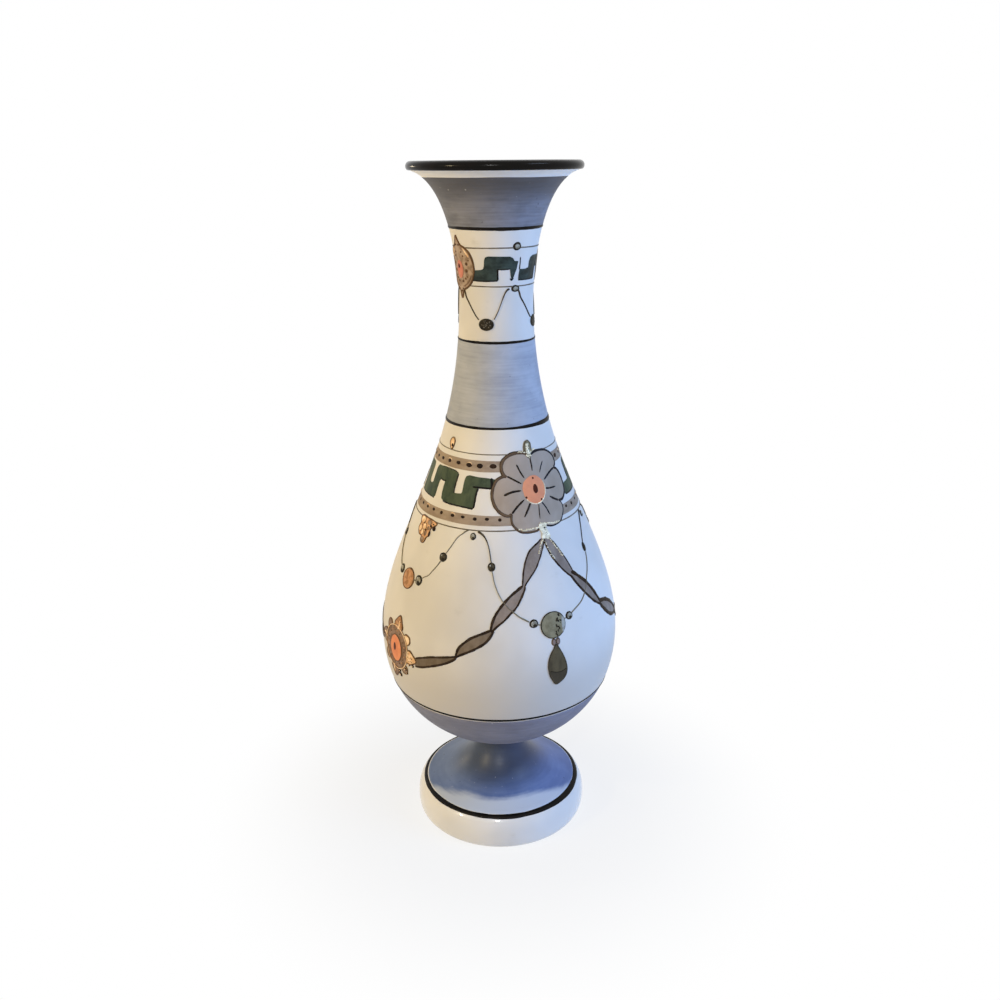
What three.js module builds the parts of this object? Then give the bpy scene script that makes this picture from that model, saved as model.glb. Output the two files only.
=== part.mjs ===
// A footed vase of white opaline glass: a blown, pear-shaped vessel with a slender neck and a
// flared mouth, joined at its stem to an applied trumpet foot. Fired enamel and gilding lie
// on the glass as thin raised coats, lines and ornaments.
// Millimetres, +Z up, origin at the middle of the face that the foot rests on.
// Angles are degrees round the axis: 0 faces -Y, and they grow towards +X.
import * as THREE from "three";
import { TessellateModifier } from "three/addons/modifiers/TessellateModifier.js";
import { mergeVertices } from "three/addons/utils/BufferGeometryUtils.js";

// Glass, from the bottom up: the rim stands 300 above the floor
const footRestRadius = 38.6;
const footWidestRadius = 40.4;
const footWidestHeight = 5.5;
const footLineRadius = 36.8;
const footLineHeight = 15.2;
const footRecessRadius = 30;
const footRecessDepth = 2.4;
const stemRadius = 10.2;
const stemHeight = 40.5;
const bellyRadius = 53.9;
const bellyRise = 54.8;
const throatRadius = 15.5;
const throatRise = 150.3;
const flareRadius = 31.7;
const flareRise = 49.9;
const mouthRadius = 35.7;
const rimRise = 4.5;
const lipRollRadius = 1.5;
const wallThickness = 3;
const floorThickness = 6;
const bellyHeight = stemHeight + bellyRise;
const throatHeight = bellyHeight + throatRise;
const flareHeight = throatHeight + flareRise;
const vaseHeight = flareHeight + rimRise;

// How far each curve of the outline runs straight before it bends
const footHeelRun = 1.2;
const footHeelRise = 0.4;
const belowWidestRun = 3;
const aboveWidestRun = 5.9;
const footShoulderRun = 2;
const footShoulderDrop = 1.2;
const trumpetRun = 12;
const trumpetRise = 4;
const stemRun = 13.5;
const underBellyRun = 26.8;
const underBellySlopeAngle = 16.6;
const belowBellyRun = 29.3;
const aboveBellyRun = 43.7;
const belowThroatRun = 72.5;
const aboveThroatRun = 10.7;
const belowFlareRun = 15.5;
const flareSlopeAngle = 27.3;

// Enamel: a first layer on the glass, and a second that passes over it
const enamelThickness = 0.3;
const enamelGap = 0.2;
const layerGap = 0.15;
const edgeGap = 0.3;
const overLift = enamelGap + enamelThickness + layerGap;

// Rings painted round the vase: where they stand, and their widths along the surface
const bellyLineDrop = 21.1;
const bandLowerRise = 60.3;
const lowerBeadRise = 3.9;
const shoulderKeyRise = 8.4;
const shoulderKeyTall = 12.4;
const upperBeadGap = 4.1;
const bandUpperGap = 4.5;
const shoulderLineGap = 10.3;
const neckLineDrop = 16;
const neckLowerRise = 6.6;
const neckKeyRise = 2.7;
const neckKeyTall = 9.1;
const neckUpperGap = 3.3;
const mouthLineGap = 7.4;
const mouthCoatDrop = 1.5;
const footCoatFade = 3;
const neckBeadRadius = 1.6;
const bellyLine = { height: bellyHeight - bellyLineDrop, width: 0.8 };
const bandLowerLine = { height: bellyHeight + bandLowerRise, width: 0.5 };
const lowerBeadBand = { height: bandLowerLine.height + lowerBeadRise, width: 4.2 };
const shoulderKeyLow = bandLowerLine.height + shoulderKeyRise;
const shoulderKeyHigh = shoulderKeyLow + shoulderKeyTall;
const upperBeadBand = { height: shoulderKeyHigh + upperBeadGap, width: 4.6 };
const bandUpperLine = { height: upperBeadBand.height + bandUpperGap, width: 0.5 };
const shoulderLine = { height: bandUpperLine.height + shoulderLineGap, width: 1.2 };
const neckLine = { height: throatHeight - neckLineDrop, width: 1 };
const neckLowerLine = { height: throatHeight + neckLowerRise, width: 0.5 };
const neckKeyLow = neckLowerLine.height + neckKeyRise;
const neckKeyHigh = neckKeyLow + neckKeyTall;
const neckUpperLine = { height: neckKeyHigh + neckUpperGap, width: 0.5 };
const mouthLine = { height: neckUpperLine.height + mouthLineGap, width: 1.4 };
const footLine = { height: footLineHeight, width: 2.5 };

// Ornament: where its axes stand round the vase
const flowerAngle = 30;
const sideAngle = -57.5;
const halfTurn = 180;
const flowerRise = 14.6;
const flowerHeight = bandLowerLine.height + flowerRise;
const petalRadius = 17.6;
const notchRadius = 14.9;
const petalCount = 6;
const petalRoundness = 0.6;
const flowerHeartRadius = 5.5;
const finialLength = 5.4;
const finialHalfWidth = 1.6;
const finialStalkHalfWidth = 0.15;
const tieLength = 4.6;
const tieHalfWidth = 1.9;
const tieTopHalfWidth = 0.5;
const tieEndHalfWidth = 0.8;

// Greek keys: their ends and turns are angles from the flower's axis
const shoulderKey = {
  low: shoulderKeyLow,
  high: shoulderKeyHigh,
  bar: 4.6,
  startAngle: 37,
  endAngle: 146,
  turnAngles: [54.3, 73.2, 91.5, 110.4, 128.7],
};
const neckKey = {
  low: neckKeyLow,
  high: neckKeyHigh,
  bar: 3.9,
  startAngle: -62,
  endAngle: 58,
  turnAngles: [-35, -2, 33.5],
};

// Ribbon garlands hang from the flowers to the low point behind the side rosettes
const garlandDrop = 6;
const garlandSag = 54.6;
const garlandTop = bandLowerLine.height - garlandDrop;
const garlandLow = garlandTop - garlandSag;
const garlandReachAngle = 88;
const garlandStartAngle = 3;
const garlandEndAngle = 68;
const garlandLensCount = 4;
const garlandLensHalfWidth = 2.6;
const garlandNodeHalfWidth = 0.65;

// Bead chains swing below the shoulder, deep under a flower and shallow over a rosette
const chainHalfWidth = 0.3;
const beadRadius = 1.4;
const chainDrop = 1;
const deepChainSag = 37.5;
const shallowChainSag = 24;
const chainTop = bandLowerLine.height - chainDrop;
const deepChainLow = chainTop - deepChainSag;
const shallowChainLow = chainTop - shallowChainSag;
const chainEndAngle = 43.5;
const deepBeadShares = [-0.79, -0.29, 0.24, 0.82];
const shallowBeadShares = [-0.66, -0.24, 0.24, 0.66];
const smallMedallionRadius = 3.6;

// The pendant below the deep chain: a medallion, a link and a drop
const medallionRadius = 5.3;
const linkHalfWidth = 0.9;
const linkSink = 0.16;
const linkLength = 3.4;
const dropLength = 17.5;
const dropHalfWidth = 3.8;
const dropTipHalfWidth = 0.35;
const dropSkew = 1.35;
const dropTaper = 0.12;
const dropShoulder = 0.6;

// Side rosettes, on the belly and on the neck, and the sprig under the shoulder
const rosetteRise = 4;
const rosetteHeight = garlandLow + rosetteRise;
const rosettePointRadius = 15.6;
const rosetteValleyRadius = 11.6;
const rosettePointCount = 8;
const rosetteHeartRadius = 9.5;
const neckRosetteRise = 7.1;
const neckRosetteHeight = neckLowerLine.height + neckRosetteRise;
const neckRosetteHalfWidth = 6.8;
const neckRosetteHalfHeight = 8;
const neckRosetteHeartRadius = 3.6;
const neckRosetteTip = 3.4;
const neckRosetteTipSharpness = 24;
const sprigHalfWidth = 5.5;
const sprigLength = 8.6;
const sprigDriftAngle = 3;
const sideFinialDriftAngle = 6.5;

// Swags of the neck: each hangs midway between a flower's axis and the next quarter turn
const neckSwagDrop = 1.3;
const neckSwagSag = 13.7;
const neckSwagTop = neckLowerLine.height - neckSwagDrop;
const neckSwagLow = neckSwagTop - neckSwagSag;
const neckSwagHalfAngle = 36;
const neckSwagSpacingAngle = 90;
const neckSwagHalfWidth = 0.3;
const neckMedallionHalfWidth = 3.2;
const neckMedallionHalfHeight = 2.5;

// Fineness of the meshes
const sectors = 24;
const longestEdge = 6.5;
const neckLongestEdge = 4;
const curveSegments = 5;
const outerSteps = [8, 18, 14];
const innerSteps = [4, 6, 5];
const lipSteps = 6;
const footSteps = [3, 5, 12];
const ringStation = 6;
const footLineStation = 1.3;
const mouthCoatStation = 4.5;
const neckCoatStation = 7;
const bellyCoatStation = 8;
const footCoatStation = 5;
const chainStation = 5;
const neckSwagStation = 3;
const beadMargin = 0.4;
const slopeStep = 0.2;
const stationsPerLens = 5;
const pathSamples = 400;
const profileSamples = 80;
const discSteps = 20;
const smallDiscSteps = 16;
const medallionSteps = 9;
const dropSteps = 9;
const pendantColumns = 3;

const degrees = THREE.MathUtils.degToRad;

// Reads the y that belongs to x off a rising table.
function interpolate(xs, ys, x) {
  let high = 1;
  while (high < xs.length - 1 && xs[high] < x) {
    high += 1;
  }
  const share = (x - xs[high - 1]) / (xs[high] - xs[high - 1]);
  return ys[high - 1] + share * (ys[high] - ys[high - 1]);
}

// An outline of the glass, given as points (radius, height) from the bottom up.
class Profile {
  constructor(curves) {
    const points = curves.flatMap((curve, i) => curve.getPoints(profileSamples).slice(i ? 1 : 0));
    this.radii = points.map((point) => point.x);
    this.heights = points.map((point) => point.y);
    this.lengths = [0];
    for (let i = 1; i < points.length; i += 1) {
      this.lengths.push(this.lengths[i - 1] + points[i].distanceTo(points[i - 1]));
    }
  }

  // The radius at a height.
  radius(height) {
    return interpolate(this.heights, this.radii, height);
  }

  // The height reached by going a length up the surface from a height.
  climb(height, length) {
    const start = interpolate(this.heights, this.lengths, height);
    return interpolate(this.lengths, this.heights, start + length);
  }

  // The length of surface between two heights.
  span(low, high) {
    return (
      interpolate(this.heights, this.lengths, high) - interpolate(this.heights, this.lengths, low)
    );
  }

  // The point (radius, height) that stands a lift out from the surface at a height.
  lifted(height, lift) {
    const rise = this.radius(height + slopeStep) - this.radius(height - slopeStep);
    const slope = rise / (2 * slopeStep);
    const norm = Math.hypot(1, slope);
    return new THREE.Vector2(
      this.radius(height) + lift / norm,
      height - (lift * slope) / norm,
    );
  }

  // The same point, turned to an angle round the axis.
  place(angle, height, lift) {
    const at = this.lifted(height, lift);
    const turn = degrees(angle);
    return new THREE.Vector3(at.x * Math.sin(turn), -at.x * Math.cos(turn), at.y);
  }
}

function bezier(...points) {
  return new THREE.CubicBezierCurve(...points.map(([x, y]) => new THREE.Vector2(x, y)));
}

const slope = degrees(underBellySlopeAngle);
const lean = degrees(flareSlopeAngle);
const vesselCurves = [
  bezier(
    [stemRadius, stemHeight],
    [stemRadius + underBellyRun * Math.cos(slope), stemHeight + underBellyRun * Math.sin(slope)],
    [bellyRadius, bellyHeight - belowBellyRun],
    [bellyRadius, bellyHeight],
  ),
  bezier(
    [bellyRadius, bellyHeight],
    [bellyRadius, bellyHeight + aboveBellyRun],
    [throatRadius, throatHeight - belowThroatRun],
    [throatRadius, throatHeight],
  ),
  bezier(
    [throatRadius, throatHeight],
    [throatRadius, throatHeight + aboveThroatRun],
    [flareRadius - belowFlareRun * Math.cos(lean), flareHeight - belowFlareRun * Math.sin(lean)],
    [flareRadius, flareHeight],
  ),
];
const footCurves = [
  bezier(
    [footRestRadius, 0],
    [footRestRadius + footHeelRun, footHeelRise],
    [footWidestRadius, footWidestHeight - belowWidestRun],
    [footWidestRadius, footWidestHeight],
  ),
  bezier(
    [footWidestRadius, footWidestHeight],
    [footWidestRadius, footWidestHeight + aboveWidestRun],
    [footLineRadius + footShoulderRun, footLineHeight - footShoulderDrop],
    [footLineRadius, footLineHeight],
  ),
  bezier(
    [footLineRadius, footLineHeight],
    [footLineRadius - trumpetRun, footLineHeight + trumpetRise],
    [stemRadius, stemHeight - stemRun],
    [stemRadius, stemHeight],
  ),
];
const vesselProfile = new Profile(vesselCurves);
const footProfile = new Profile(footCurves);

// The lip is a roll whose enamel reaches the full height and width of the mouth. Its arc turns
// from the underside, past the widest and the highest point, to the inside.
const lipArcStart = -60;
const lipArcEnd = 120;
const lipOuterRadius = lipRollRadius + enamelGap + enamelThickness;
const lipCentre = new THREE.Vector2(mouthRadius - lipOuterRadius, vaseHeight - lipOuterRadius);

function arc(centre, radius, from, to, steps) {
  const points = [];
  for (let i = 0; i <= steps; i += 1) {
    const angle = degrees(from + ((to - from) * i) / steps);
    points.push(
      new THREE.Vector2(centre.x + radius * Math.cos(angle), centre.y + radius * Math.sin(angle)),
    );
  }
  return points;
}

// Turns every triangle round if the closed mesh faces inwards.
function facingOut(geometry) {
  const bare = geometry.clone();
  bare.deleteAttribute("normal");
  bare.deleteAttribute("uv");
  const merged = mergeVertices(bare, 1e-4);
  const position = merged.attributes.position;
  const index = merged.index.array;
  const [a, b, c] = [new THREE.Vector3(), new THREE.Vector3(), new THREE.Vector3()];
  let volume = 0;
  for (let i = 0; i < index.length; i += 3) {
    a.fromBufferAttribute(position, index[i]);
    b.fromBufferAttribute(position, index[i + 1]);
    c.fromBufferAttribute(position, index[i + 2]);
    volume += a.dot(b.cross(c));
  }
  if (volume < 0) {
    for (let i = 0; i < index.length; i += 3) {
      [index[i + 1], index[i + 2]] = [index[i + 2], index[i + 1]];
    }
  }
  merged.computeVertexNormals();
  return merged;
}

// A solid of revolution about +Z from points (radius, height).
function revolve(points) {
  return facingOut(new THREE.LatheGeometry(points, sectors).rotateX(Math.PI / 2));
}

// The blown vessel: outer wall, rolled lip, inner wall and floor.
function vesselGeometry() {
  const outer = [
    ...vesselCurves[0].getPoints(outerSteps[0]),
    ...vesselCurves[1].getPoints(outerSteps[1]).slice(1),
    ...vesselCurves[2].getPoints(outerSteps[2]).slice(1),
  ];
  const lip = arc(lipCentre, lipRollRadius, lipArcStart, lipArcEnd, lipSteps);
  const floorHeight = stemHeight + floorThickness;
  const inner = [];
  [2, 1, 0].forEach((k) => {
    for (let i = innerSteps[k]; i > 0; i -= 1) {
      const at = vesselCurves[k].getPoint(i / innerSteps[k]);
      const along = vesselCurves[k].getTangent(i / innerSteps[k]);
      inner.push(new THREE.Vector2(at.x - along.y * wallThickness, at.y + along.x * wallThickness));
    }
  });
  return revolve([
    new THREE.Vector2(0, stemHeight),
    ...outer,
    ...lip,
    ...inner.filter((point) => point.y > floorHeight + 1),
    new THREE.Vector2(stemRadius, floorHeight),
    new THREE.Vector2(0, floorHeight),
  ]);
}

// The applied foot: a solid trumpet with a shallow recess under it.
function footGeometry() {
  return revolve([
    new THREE.Vector2(0, footRecessDepth),
    new THREE.Vector2(footRecessRadius - footRecessDepth, footRecessDepth),
    new THREE.Vector2(footRecessRadius, 0),
    ...footCurves[0].getPoints(footSteps[0]),
    ...footCurves[1].getPoints(footSteps[1]).slice(1),
    ...footCurves[2].getPoints(footSteps[2]).slice(1),
    new THREE.Vector2(0, stemHeight),
  ]);
}

// A coat round the whole glass between two heights.
function coat(profile, low, high, station) {
  const length = profile.span(low, high);
  const steps = Math.max(1, Math.ceil(length / station));
  const outside = [];
  const inside = [];
  for (let i = 0; i <= steps; i += 1) {
    const height = profile.climb(low, (length * i) / steps);
    outside.push(profile.lifted(height, enamelGap + enamelThickness));
    inside.unshift(profile.lifted(height, enamelGap));
  }
  return revolve([...outside, ...inside, outside[0]]);
}

// A painted line or band round the whole glass, centred on a height.
function ring(profile, { height, width }, station = ringStation) {
  const low = profile.climb(height, -width / 2);
  const high = profile.climb(height, width / 2);
  return coat(profile, low, high, station);
}

// The gloss enamel that wraps the rolled lip.
function lipEnamelGeometry() {
  const inside = arc(lipCentre, lipRollRadius + enamelGap, lipArcEnd, lipArcStart, lipSteps);
  const outside = arc(lipCentre, lipOuterRadius, lipArcStart, lipArcEnd, lipSteps);
  return revolve([...outside, ...inside, outside[0]]);
}

// A raised strip over the vessel. Each station is { angle, height, x, y, half }: its middle, the
// way across it (x along the parallel, y up the surface) and its half width.
function strip(stations, { columns = 1, lift = enamelGap, closed = false } = {}) {
  const rows = [lift + enamelThickness, lift].map((level) =>
    stations.map(({ angle, height, x, y, half }) => {
      const row = [];
      for (let k = 0; k <= columns; k += 1) {
        const across = half * ((2 * k) / columns - 1);
        const climbed = vesselProfile.climb(height, across * y);
        const turn = (across * x) / vesselProfile.radius(climbed);
        row.push(vesselProfile.place(angle + THREE.MathUtils.radToDeg(turn), climbed, level));
      }
      return row;
    }),
  );
  const triangles = [];
  const quad = (a, b, c, d) => triangles.push(a, b, c, a, c, d);
  const [top, bottom] = rows;
  const runs = closed ? stations.length : stations.length - 1;
  for (let i = 0; i < runs; i += 1) {
    const next = (i + 1) % stations.length;
    for (let k = 0; k < columns; k += 1) {
      quad(top[i][k], top[next][k], top[next][k + 1], top[i][k + 1]);
      quad(bottom[i][k + 1], bottom[next][k + 1], bottom[next][k], bottom[i][k]);
    }
    quad(bottom[i][0], bottom[next][0], top[next][0], top[i][0]);
    quad(top[i][columns], top[next][columns], bottom[next][columns], bottom[i][columns]);
  }
  if (!closed) {
    const last = stations.length - 1;
    for (let k = 0; k < columns; k += 1) {
      quad(top[0][k], top[0][k + 1], bottom[0][k + 1], bottom[0][k]);
      quad(top[last][k + 1], top[last][k], bottom[last][k], bottom[last][k + 1]);
    }
  }
  return facingOut(new THREE.BufferGeometry().setFromPoints(triangles));
}

// Stations along a path over the vessel. path(t) gives [angle, height]; half(length) the half
// width at a length from the start; stops are the lengths at which stations are wanted.
function followPath(path, half, stops) {
  const lengths = [0];
  const shares = [0];
  const step = (t0, t1) => {
    const [angle0, height0] = path(t0);
    const [angle1, height1] = path(t1);
    const radius = vesselProfile.radius((height0 + height1) / 2);
    const up = Math.sign(height1 - height0) * vesselProfile.span(
      Math.min(height0, height1),
      Math.max(height0, height1),
    );
    return [degrees(angle1 - angle0) * radius, up];
  };
  for (let i = 1; i <= pathSamples; i += 1) {
    const [dx, dy] = step((i - 1) / pathSamples, i / pathSamples);
    lengths.push(lengths[i - 1] + Math.hypot(dx, dy));
    shares.push(i / pathSamples);
  }
  const total = lengths[pathSamples];
  return stops(total).map((length) => {
    const t = interpolate(lengths, shares, length);
    const [angle, height] = path(t);
    const [dx, dy] = step(Math.max(0, t - 0.01), Math.min(1, t + 0.01));
    const norm = Math.hypot(dx, dy);
    return { angle, height, x: -dy / norm, y: dx / norm, half: half(length, total) };
  });
}

// A fine line with round beads on it, as one strip.
function beadedLine(path, { halfWidth, beads, beadRadii, station }) {
  const arcSteps = [-1, -0.7, 0, 0.7, 1];
  const places = (total) => beads.map((share) => share * total);
  const half = (length, total) => {
    let widest = halfWidth;
    places(total).forEach((middle) => {
      const away = (length - middle) / beadRadii[0];
      if (Math.abs(away) < 1) {
        widest = Math.max(widest, beadRadii[1] * Math.sqrt(1 - away * away));
      }
    });
    return widest;
  };
  const stops = (total) => {
    const wanted = new Set();
    const steps = Math.ceil(total / station);
    for (let i = 0; i <= steps; i += 1) {
      const length = (total * i) / steps;
      if (places(total).every((middle) => Math.abs(length - middle) > beadRadii[0] + beadMargin)) {
        wanted.add(length);
      }
    }
    places(total).forEach((middle) => {
      arcSteps.forEach((share) => wanted.add(middle + share * beadRadii[0]));
    });
    return [...wanted].sort((a, b) => a - b);
  };
  return followPath(path, half, stops);
}

// Presses a flat plate onto the vessel about a middle point. Its x runs along the parallel and
// its y up the surface. With a radius given, x is an angle's arc at that radius, whatever the height.
function plate(shape, { angle, height, radius = 0, lift = overLift, edge = longestEdge }) {
  const flat = new THREE.ExtrudeGeometry(shape, {
    depth: enamelThickness,
    bevelEnabled: false,
    curveSegments,
  });
  flat.deleteAttribute("normal");
  flat.deleteAttribute("uv");
  const fine = new TessellateModifier(edge, 12).modify(flat);
  const position = fine.attributes.position;
  for (let i = 0; i < position.count; i += 1) {
    const climbed = vesselProfile.climb(height, position.getY(i));
    const turn = position.getX(i) / (radius || vesselProfile.radius(climbed));
    const at = vesselProfile.place(
      angle + THREE.MathUtils.radToDeg(turn),
      climbed,
      lift + position.getZ(i),
    );
    position.setXYZ(i, at.x, at.y, at.z);
  }
  return facingOut(fine);
}

// A closed outline whose distance from the middle is given for each angle.
function polarShape(distance, steps, stretch = 1) {
  const shape = new THREE.Shape();
  for (let i = 0; i < steps; i += 1) {
    const turn = (2 * Math.PI * i) / steps;
    const reach = distance(turn);
    const point = [reach * Math.cos(turn), stretch * reach * Math.sin(turn)];
    if (i) {
      shape.lineTo(...point);
    } else {
      shape.moveTo(...point);
    }
  }
  shape.closePath();
  return shape;
}

function roundHole(radius, steps) {
  const hole = new THREE.Path();
  hole.setFromPoints(arc(new THREE.Vector2(0, 0), radius, 360, 0, steps).slice(0, -1));
  return hole;
}

function disc(radius, steps, stretch = 1) {
  return polarShape(() => radius, steps, stretch);
}

// Six rounded petals round an open heart.
function petalsShape() {
  const distance = (turn) =>
    notchRadius +
    (petalRadius - notchRadius) *
      Math.abs(Math.cos((petalCount / 2) * turn)) ** petalRoundness;
  const shape = polarShape(distance, petalCount * 6);
  shape.holes.push(roundHole(flowerHeartRadius + edgeGap, discSteps));
  return shape;
}

// Pointed gilt scallops round the heart of a belly rosette.
function rosetteShape() {
  const distance = (turn) =>
    rosetteValleyRadius +
    (rosettePointRadius - rosetteValleyRadius) * (1 - Math.abs(Math.sin((rosettePointCount / 2) * turn)));
  const shape = polarShape(distance, rosettePointCount * 4);
  shape.holes.push(roundHole(rosetteHeartRadius + edgeGap, discSteps));
  return shape;
}

// The oval gilt surround of a neck rosette, drawn out to a tip above and below.
function neckRosetteShape() {
  const distance = (turn) => {
    const oval = 1 / Math.hypot(
      Math.cos(turn) / neckRosetteHalfWidth,
      Math.sin(turn) / neckRosetteHalfHeight,
    );
    return oval + neckRosetteTip * Math.abs(Math.sin(turn)) ** neckRosetteTipSharpness;
  };
  const shape = polarShape(distance, smallDiscSteps * 2);
  shape.holes.push(roundHole(neckRosetteHeartRadius + edgeGap, smallDiscSteps));
  return shape;
}

// A drop that stands on its point at the origin.
function finialShape() {
  const shape = new THREE.Shape();
  const [stalk, wide, tall] = [finialStalkHalfWidth, finialHalfWidth, finialLength];
  shape.moveTo(stalk, 0);
  shape.bezierCurveTo(stalk * 4, tall * 0.3, wide, tall * 0.5, wide, tall * 0.7);
  shape.quadraticCurveTo(wide, tall, 0, tall);
  shape.quadraticCurveTo(-wide, tall, -wide, tall * 0.7);
  shape.bezierCurveTo(-wide, tall * 0.5, -stalk * 4, tall * 0.3, -stalk, 0);
  shape.closePath();
  return shape;
}

// The knot that ties the garlands below a flower, hanging from the origin.
function tieShape() {
  const shape = new THREE.Shape();
  shape.moveTo(-tieTopHalfWidth, 0);
  shape.quadraticCurveTo(-tieHalfWidth, -tieLength / 2, -tieEndHalfWidth, -tieLength);
  shape.lineTo(tieEndHalfWidth, -tieLength);
  shape.quadraticCurveTo(tieHalfWidth, -tieLength / 2, tieTopHalfWidth, 0);
  shape.closePath();
  return shape;
}

// A three-lobed leaf spray that hangs from the origin.
function sprigShape() {
  const [wide, tall] = [sprigHalfWidth, sprigLength];
  const shape = new THREE.Shape();
  shape.moveTo(-wide * 0.7, 0);
  shape.quadraticCurveTo(-wide, -tall * 0.25, -wide * 0.75, -tall * 0.45);
  shape.lineTo(-wide * 0.5, -tall * 0.45);
  shape.quadraticCurveTo(-wide * 0.6, -tall * 0.9, 0, -tall);
  shape.quadraticCurveTo(wide * 0.6, -tall * 0.9, wide * 0.5, -tall * 0.45);
  shape.lineTo(wide * 0.75, -tall * 0.45);
  shape.quadraticCurveTo(wide, -tall * 0.25, wide * 0.7, 0);
  shape.closePath();
  return shape;
}

// The running square key: its path steps between a low and a high course at each turn.
function keyShape({ low, high, bar, startAngle, endAngle, turnAngles }, radius) {
  const along = (angle) => degrees(angle) * radius;
  const tall = vesselProfile.span(low, high);
  const upper = [];
  const lower = [];
  let isLow = true;
  const courses = () => (isLow ? [bar, 0] : [tall, tall - bar]);
  upper.push([along(startAngle), courses()[0]]);
  lower.push([along(startAngle), courses()[1]]);
  turnAngles.forEach((turn) => {
    const [topBefore, bottomBefore] = courses();
    const upperAt = along(turn) + (isLow ? -bar / 2 : bar / 2);
    const lowerAt = along(turn) + (isLow ? bar / 2 : -bar / 2);
    isLow = !isLow;
    const [topAfter, bottomAfter] = courses();
    upper.push([upperAt, topBefore], [upperAt, topAfter]);
    lower.push([lowerAt, bottomBefore], [lowerAt, bottomAfter]);
  });
  upper.push([along(endAngle), courses()[0]]);
  lower.push([along(endAngle), courses()[1]]);
  const outline = [...lower, ...upper.reverse()].map(([x, y]) => new THREE.Vector2(x, y));
  return new THREE.Shape(outline);
}

// A key pressed onto the glass about the axis of a flower.
function keyGeometry(key, angle, edge) {
  const radius = vesselProfile.radius((key.low + key.high) / 2);
  const place = { angle, height: key.low, radius, lift: enamelGap, edge };
  return plate(keyShape(key, radius), place);
}

// A ribbon twisted into lenses, from below the tie of a flower to a side rosette.
function garlandGeometry(flower, side) {
  const heightAt = (away) => {
    const share = 1 - away / garlandReachAngle;
    return garlandLow + (garlandTop - garlandLow) * share * share;
  };
  const path = (t) => {
    const away = (garlandEndAngle - garlandStartAngle) * t;
    return [flower + side * (garlandStartAngle + away), heightAt(away)];
  };
  const half = (length, total) => {
    const wave = Math.abs(Math.sin((Math.PI * garlandLensCount * length) / total));
    return garlandNodeHalfWidth + (garlandLensHalfWidth - garlandNodeHalfWidth) * wave;
  };
  const stops = (total) => {
    const count = garlandLensCount * stationsPerLens;
    return Array.from({ length: count + 1 }, (_, i) => (total * i) / count);
  };
  return strip(followPath(path, half, stops), { lift: overLift });
}

// A swag between two angles whose lowest point is midway.
function swagPath(middle, halfAngle, top, low) {
  return (t) => {
    const share = 2 * t - 1;
    return [middle + share * halfAngle, low + (top - low) * share * share];
  };
}

function chainGeometry(middle, low, beads) {
  const path = swagPath(middle, chainEndAngle, chainTop, low);
  return strip(
    beadedLine(path, {
      halfWidth: chainHalfWidth,
      beads: beads.map((share) => (share + 1) / 2),
      beadRadii: [beadRadius, beadRadius],
      station: chainStation,
    }),
  );
}

function neckSwagGeometry(middle) {
  const path = swagPath(middle, neckSwagHalfAngle, neckSwagTop, neckSwagLow);
  return strip(
    beadedLine(path, {
      halfWidth: neckSwagHalfWidth,
      beads: [0.5],
      beadRadii: [neckMedallionHalfWidth, neckMedallionHalfHeight],
      station: neckSwagStation,
    }),
  );
}

// A pinline of the neck with a bead on each flower axis.
function beadedRing({ height, width }, radius) {
  const circumference = 2 * Math.PI * vesselProfile.radius(height);
  const stations = [];
  const axes = [flowerAngle, flowerAngle + halfTurn];
  const beadAngle = (radius / circumference) * 360;
  for (let i = 0; i < sectors; i += 1) {
    const angle = (360 * i) / sectors;
    const clear = axes.every((axis) => Math.abs(angle - axis) > beadAngle + 2);
    if (clear) {
      stations.push({ angle, height, x: 0, y: 1, half: width / 2 });
    }
  }
  axes.forEach((axis) => {
    [-1, -0.6, 0, 0.6, 1].forEach((share) => {
      const half = Math.max(width / 2, radius * Math.sqrt(1 - share * share));
      stations.push({ angle: axis + share * beadAngle, height, x: 0, y: 1, half });
    });
  });
  stations.sort((a, b) => a.angle - b.angle);
  return strip(stations, { closed: true });
}

// A round medallion with a link and a drop below it.
function pendantGeometry(angle) {
  const linkTop = medallionRadius - linkSink;
  const dropTop = linkTop + linkLength;
  const half = (down) => {
    if (down < linkTop) {
      return Math.max(linkHalfWidth, Math.sqrt(Math.max(0, medallionRadius ** 2 - down ** 2)));
    }
    if (down < dropTop) {
      return linkHalfWidth;
    }
    const share = (down - dropTop) / dropLength;
    const belly = Math.sin(Math.PI * share ** dropSkew) * (1 - dropTaper * share);
    const shoulder = linkHalfWidth * (1 - share) * dropShoulder;
    return Math.max(dropTipHalfWidth, shoulder + dropHalfWidth * belly);
  };
  const downs = [];
  for (let i = 0; i <= medallionSteps; i += 1) {
    downs.push(-medallionRadius * Math.cos((Math.PI * i) / (medallionSteps + 1)));
  }
  downs.push(medallionRadius, dropTop);
  for (let i = 1; i <= dropSteps; i += 1) {
    downs.push(dropTop + (dropLength * i) / dropSteps);
  }
  const stations = downs.map((down) => ({
    angle,
    height: vesselProfile.climb(deepChainLow, -down),
    x: 1,
    y: 0,
    half: half(down),
  }));
  return strip(stations, { columns: pendantColumns, lift: overLift });
}

function material(color, roughness, metalness = 0) {
  return new THREE.MeshStandardMaterial({ color, roughness, metalness });
}

const opalGlass = material(0xe6e1d8, 0.35);
const lipGloss = material(0x17110b, 0.08);
const blueWash = material(0x8d97b2, 0.6);
const blackLine = material(0x1c1814, 0.35);
const brownBand = material(0x9a8674, 0.55);
const greenKey = material(0x47655a, 0.5);
const mauveEnamel = material(0x9a8e93, 0.5);
const coralEnamel = material(0xdb8a6c, 0.45);
const gilding = material(0xc9974f, 0.3, 0.9);
const darkBead = material(0x4c443a, 0.4, 0.3);
const oliveEnamel = material(0x6b6757, 0.45, 0.2);

const vase = new THREE.Group();

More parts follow.
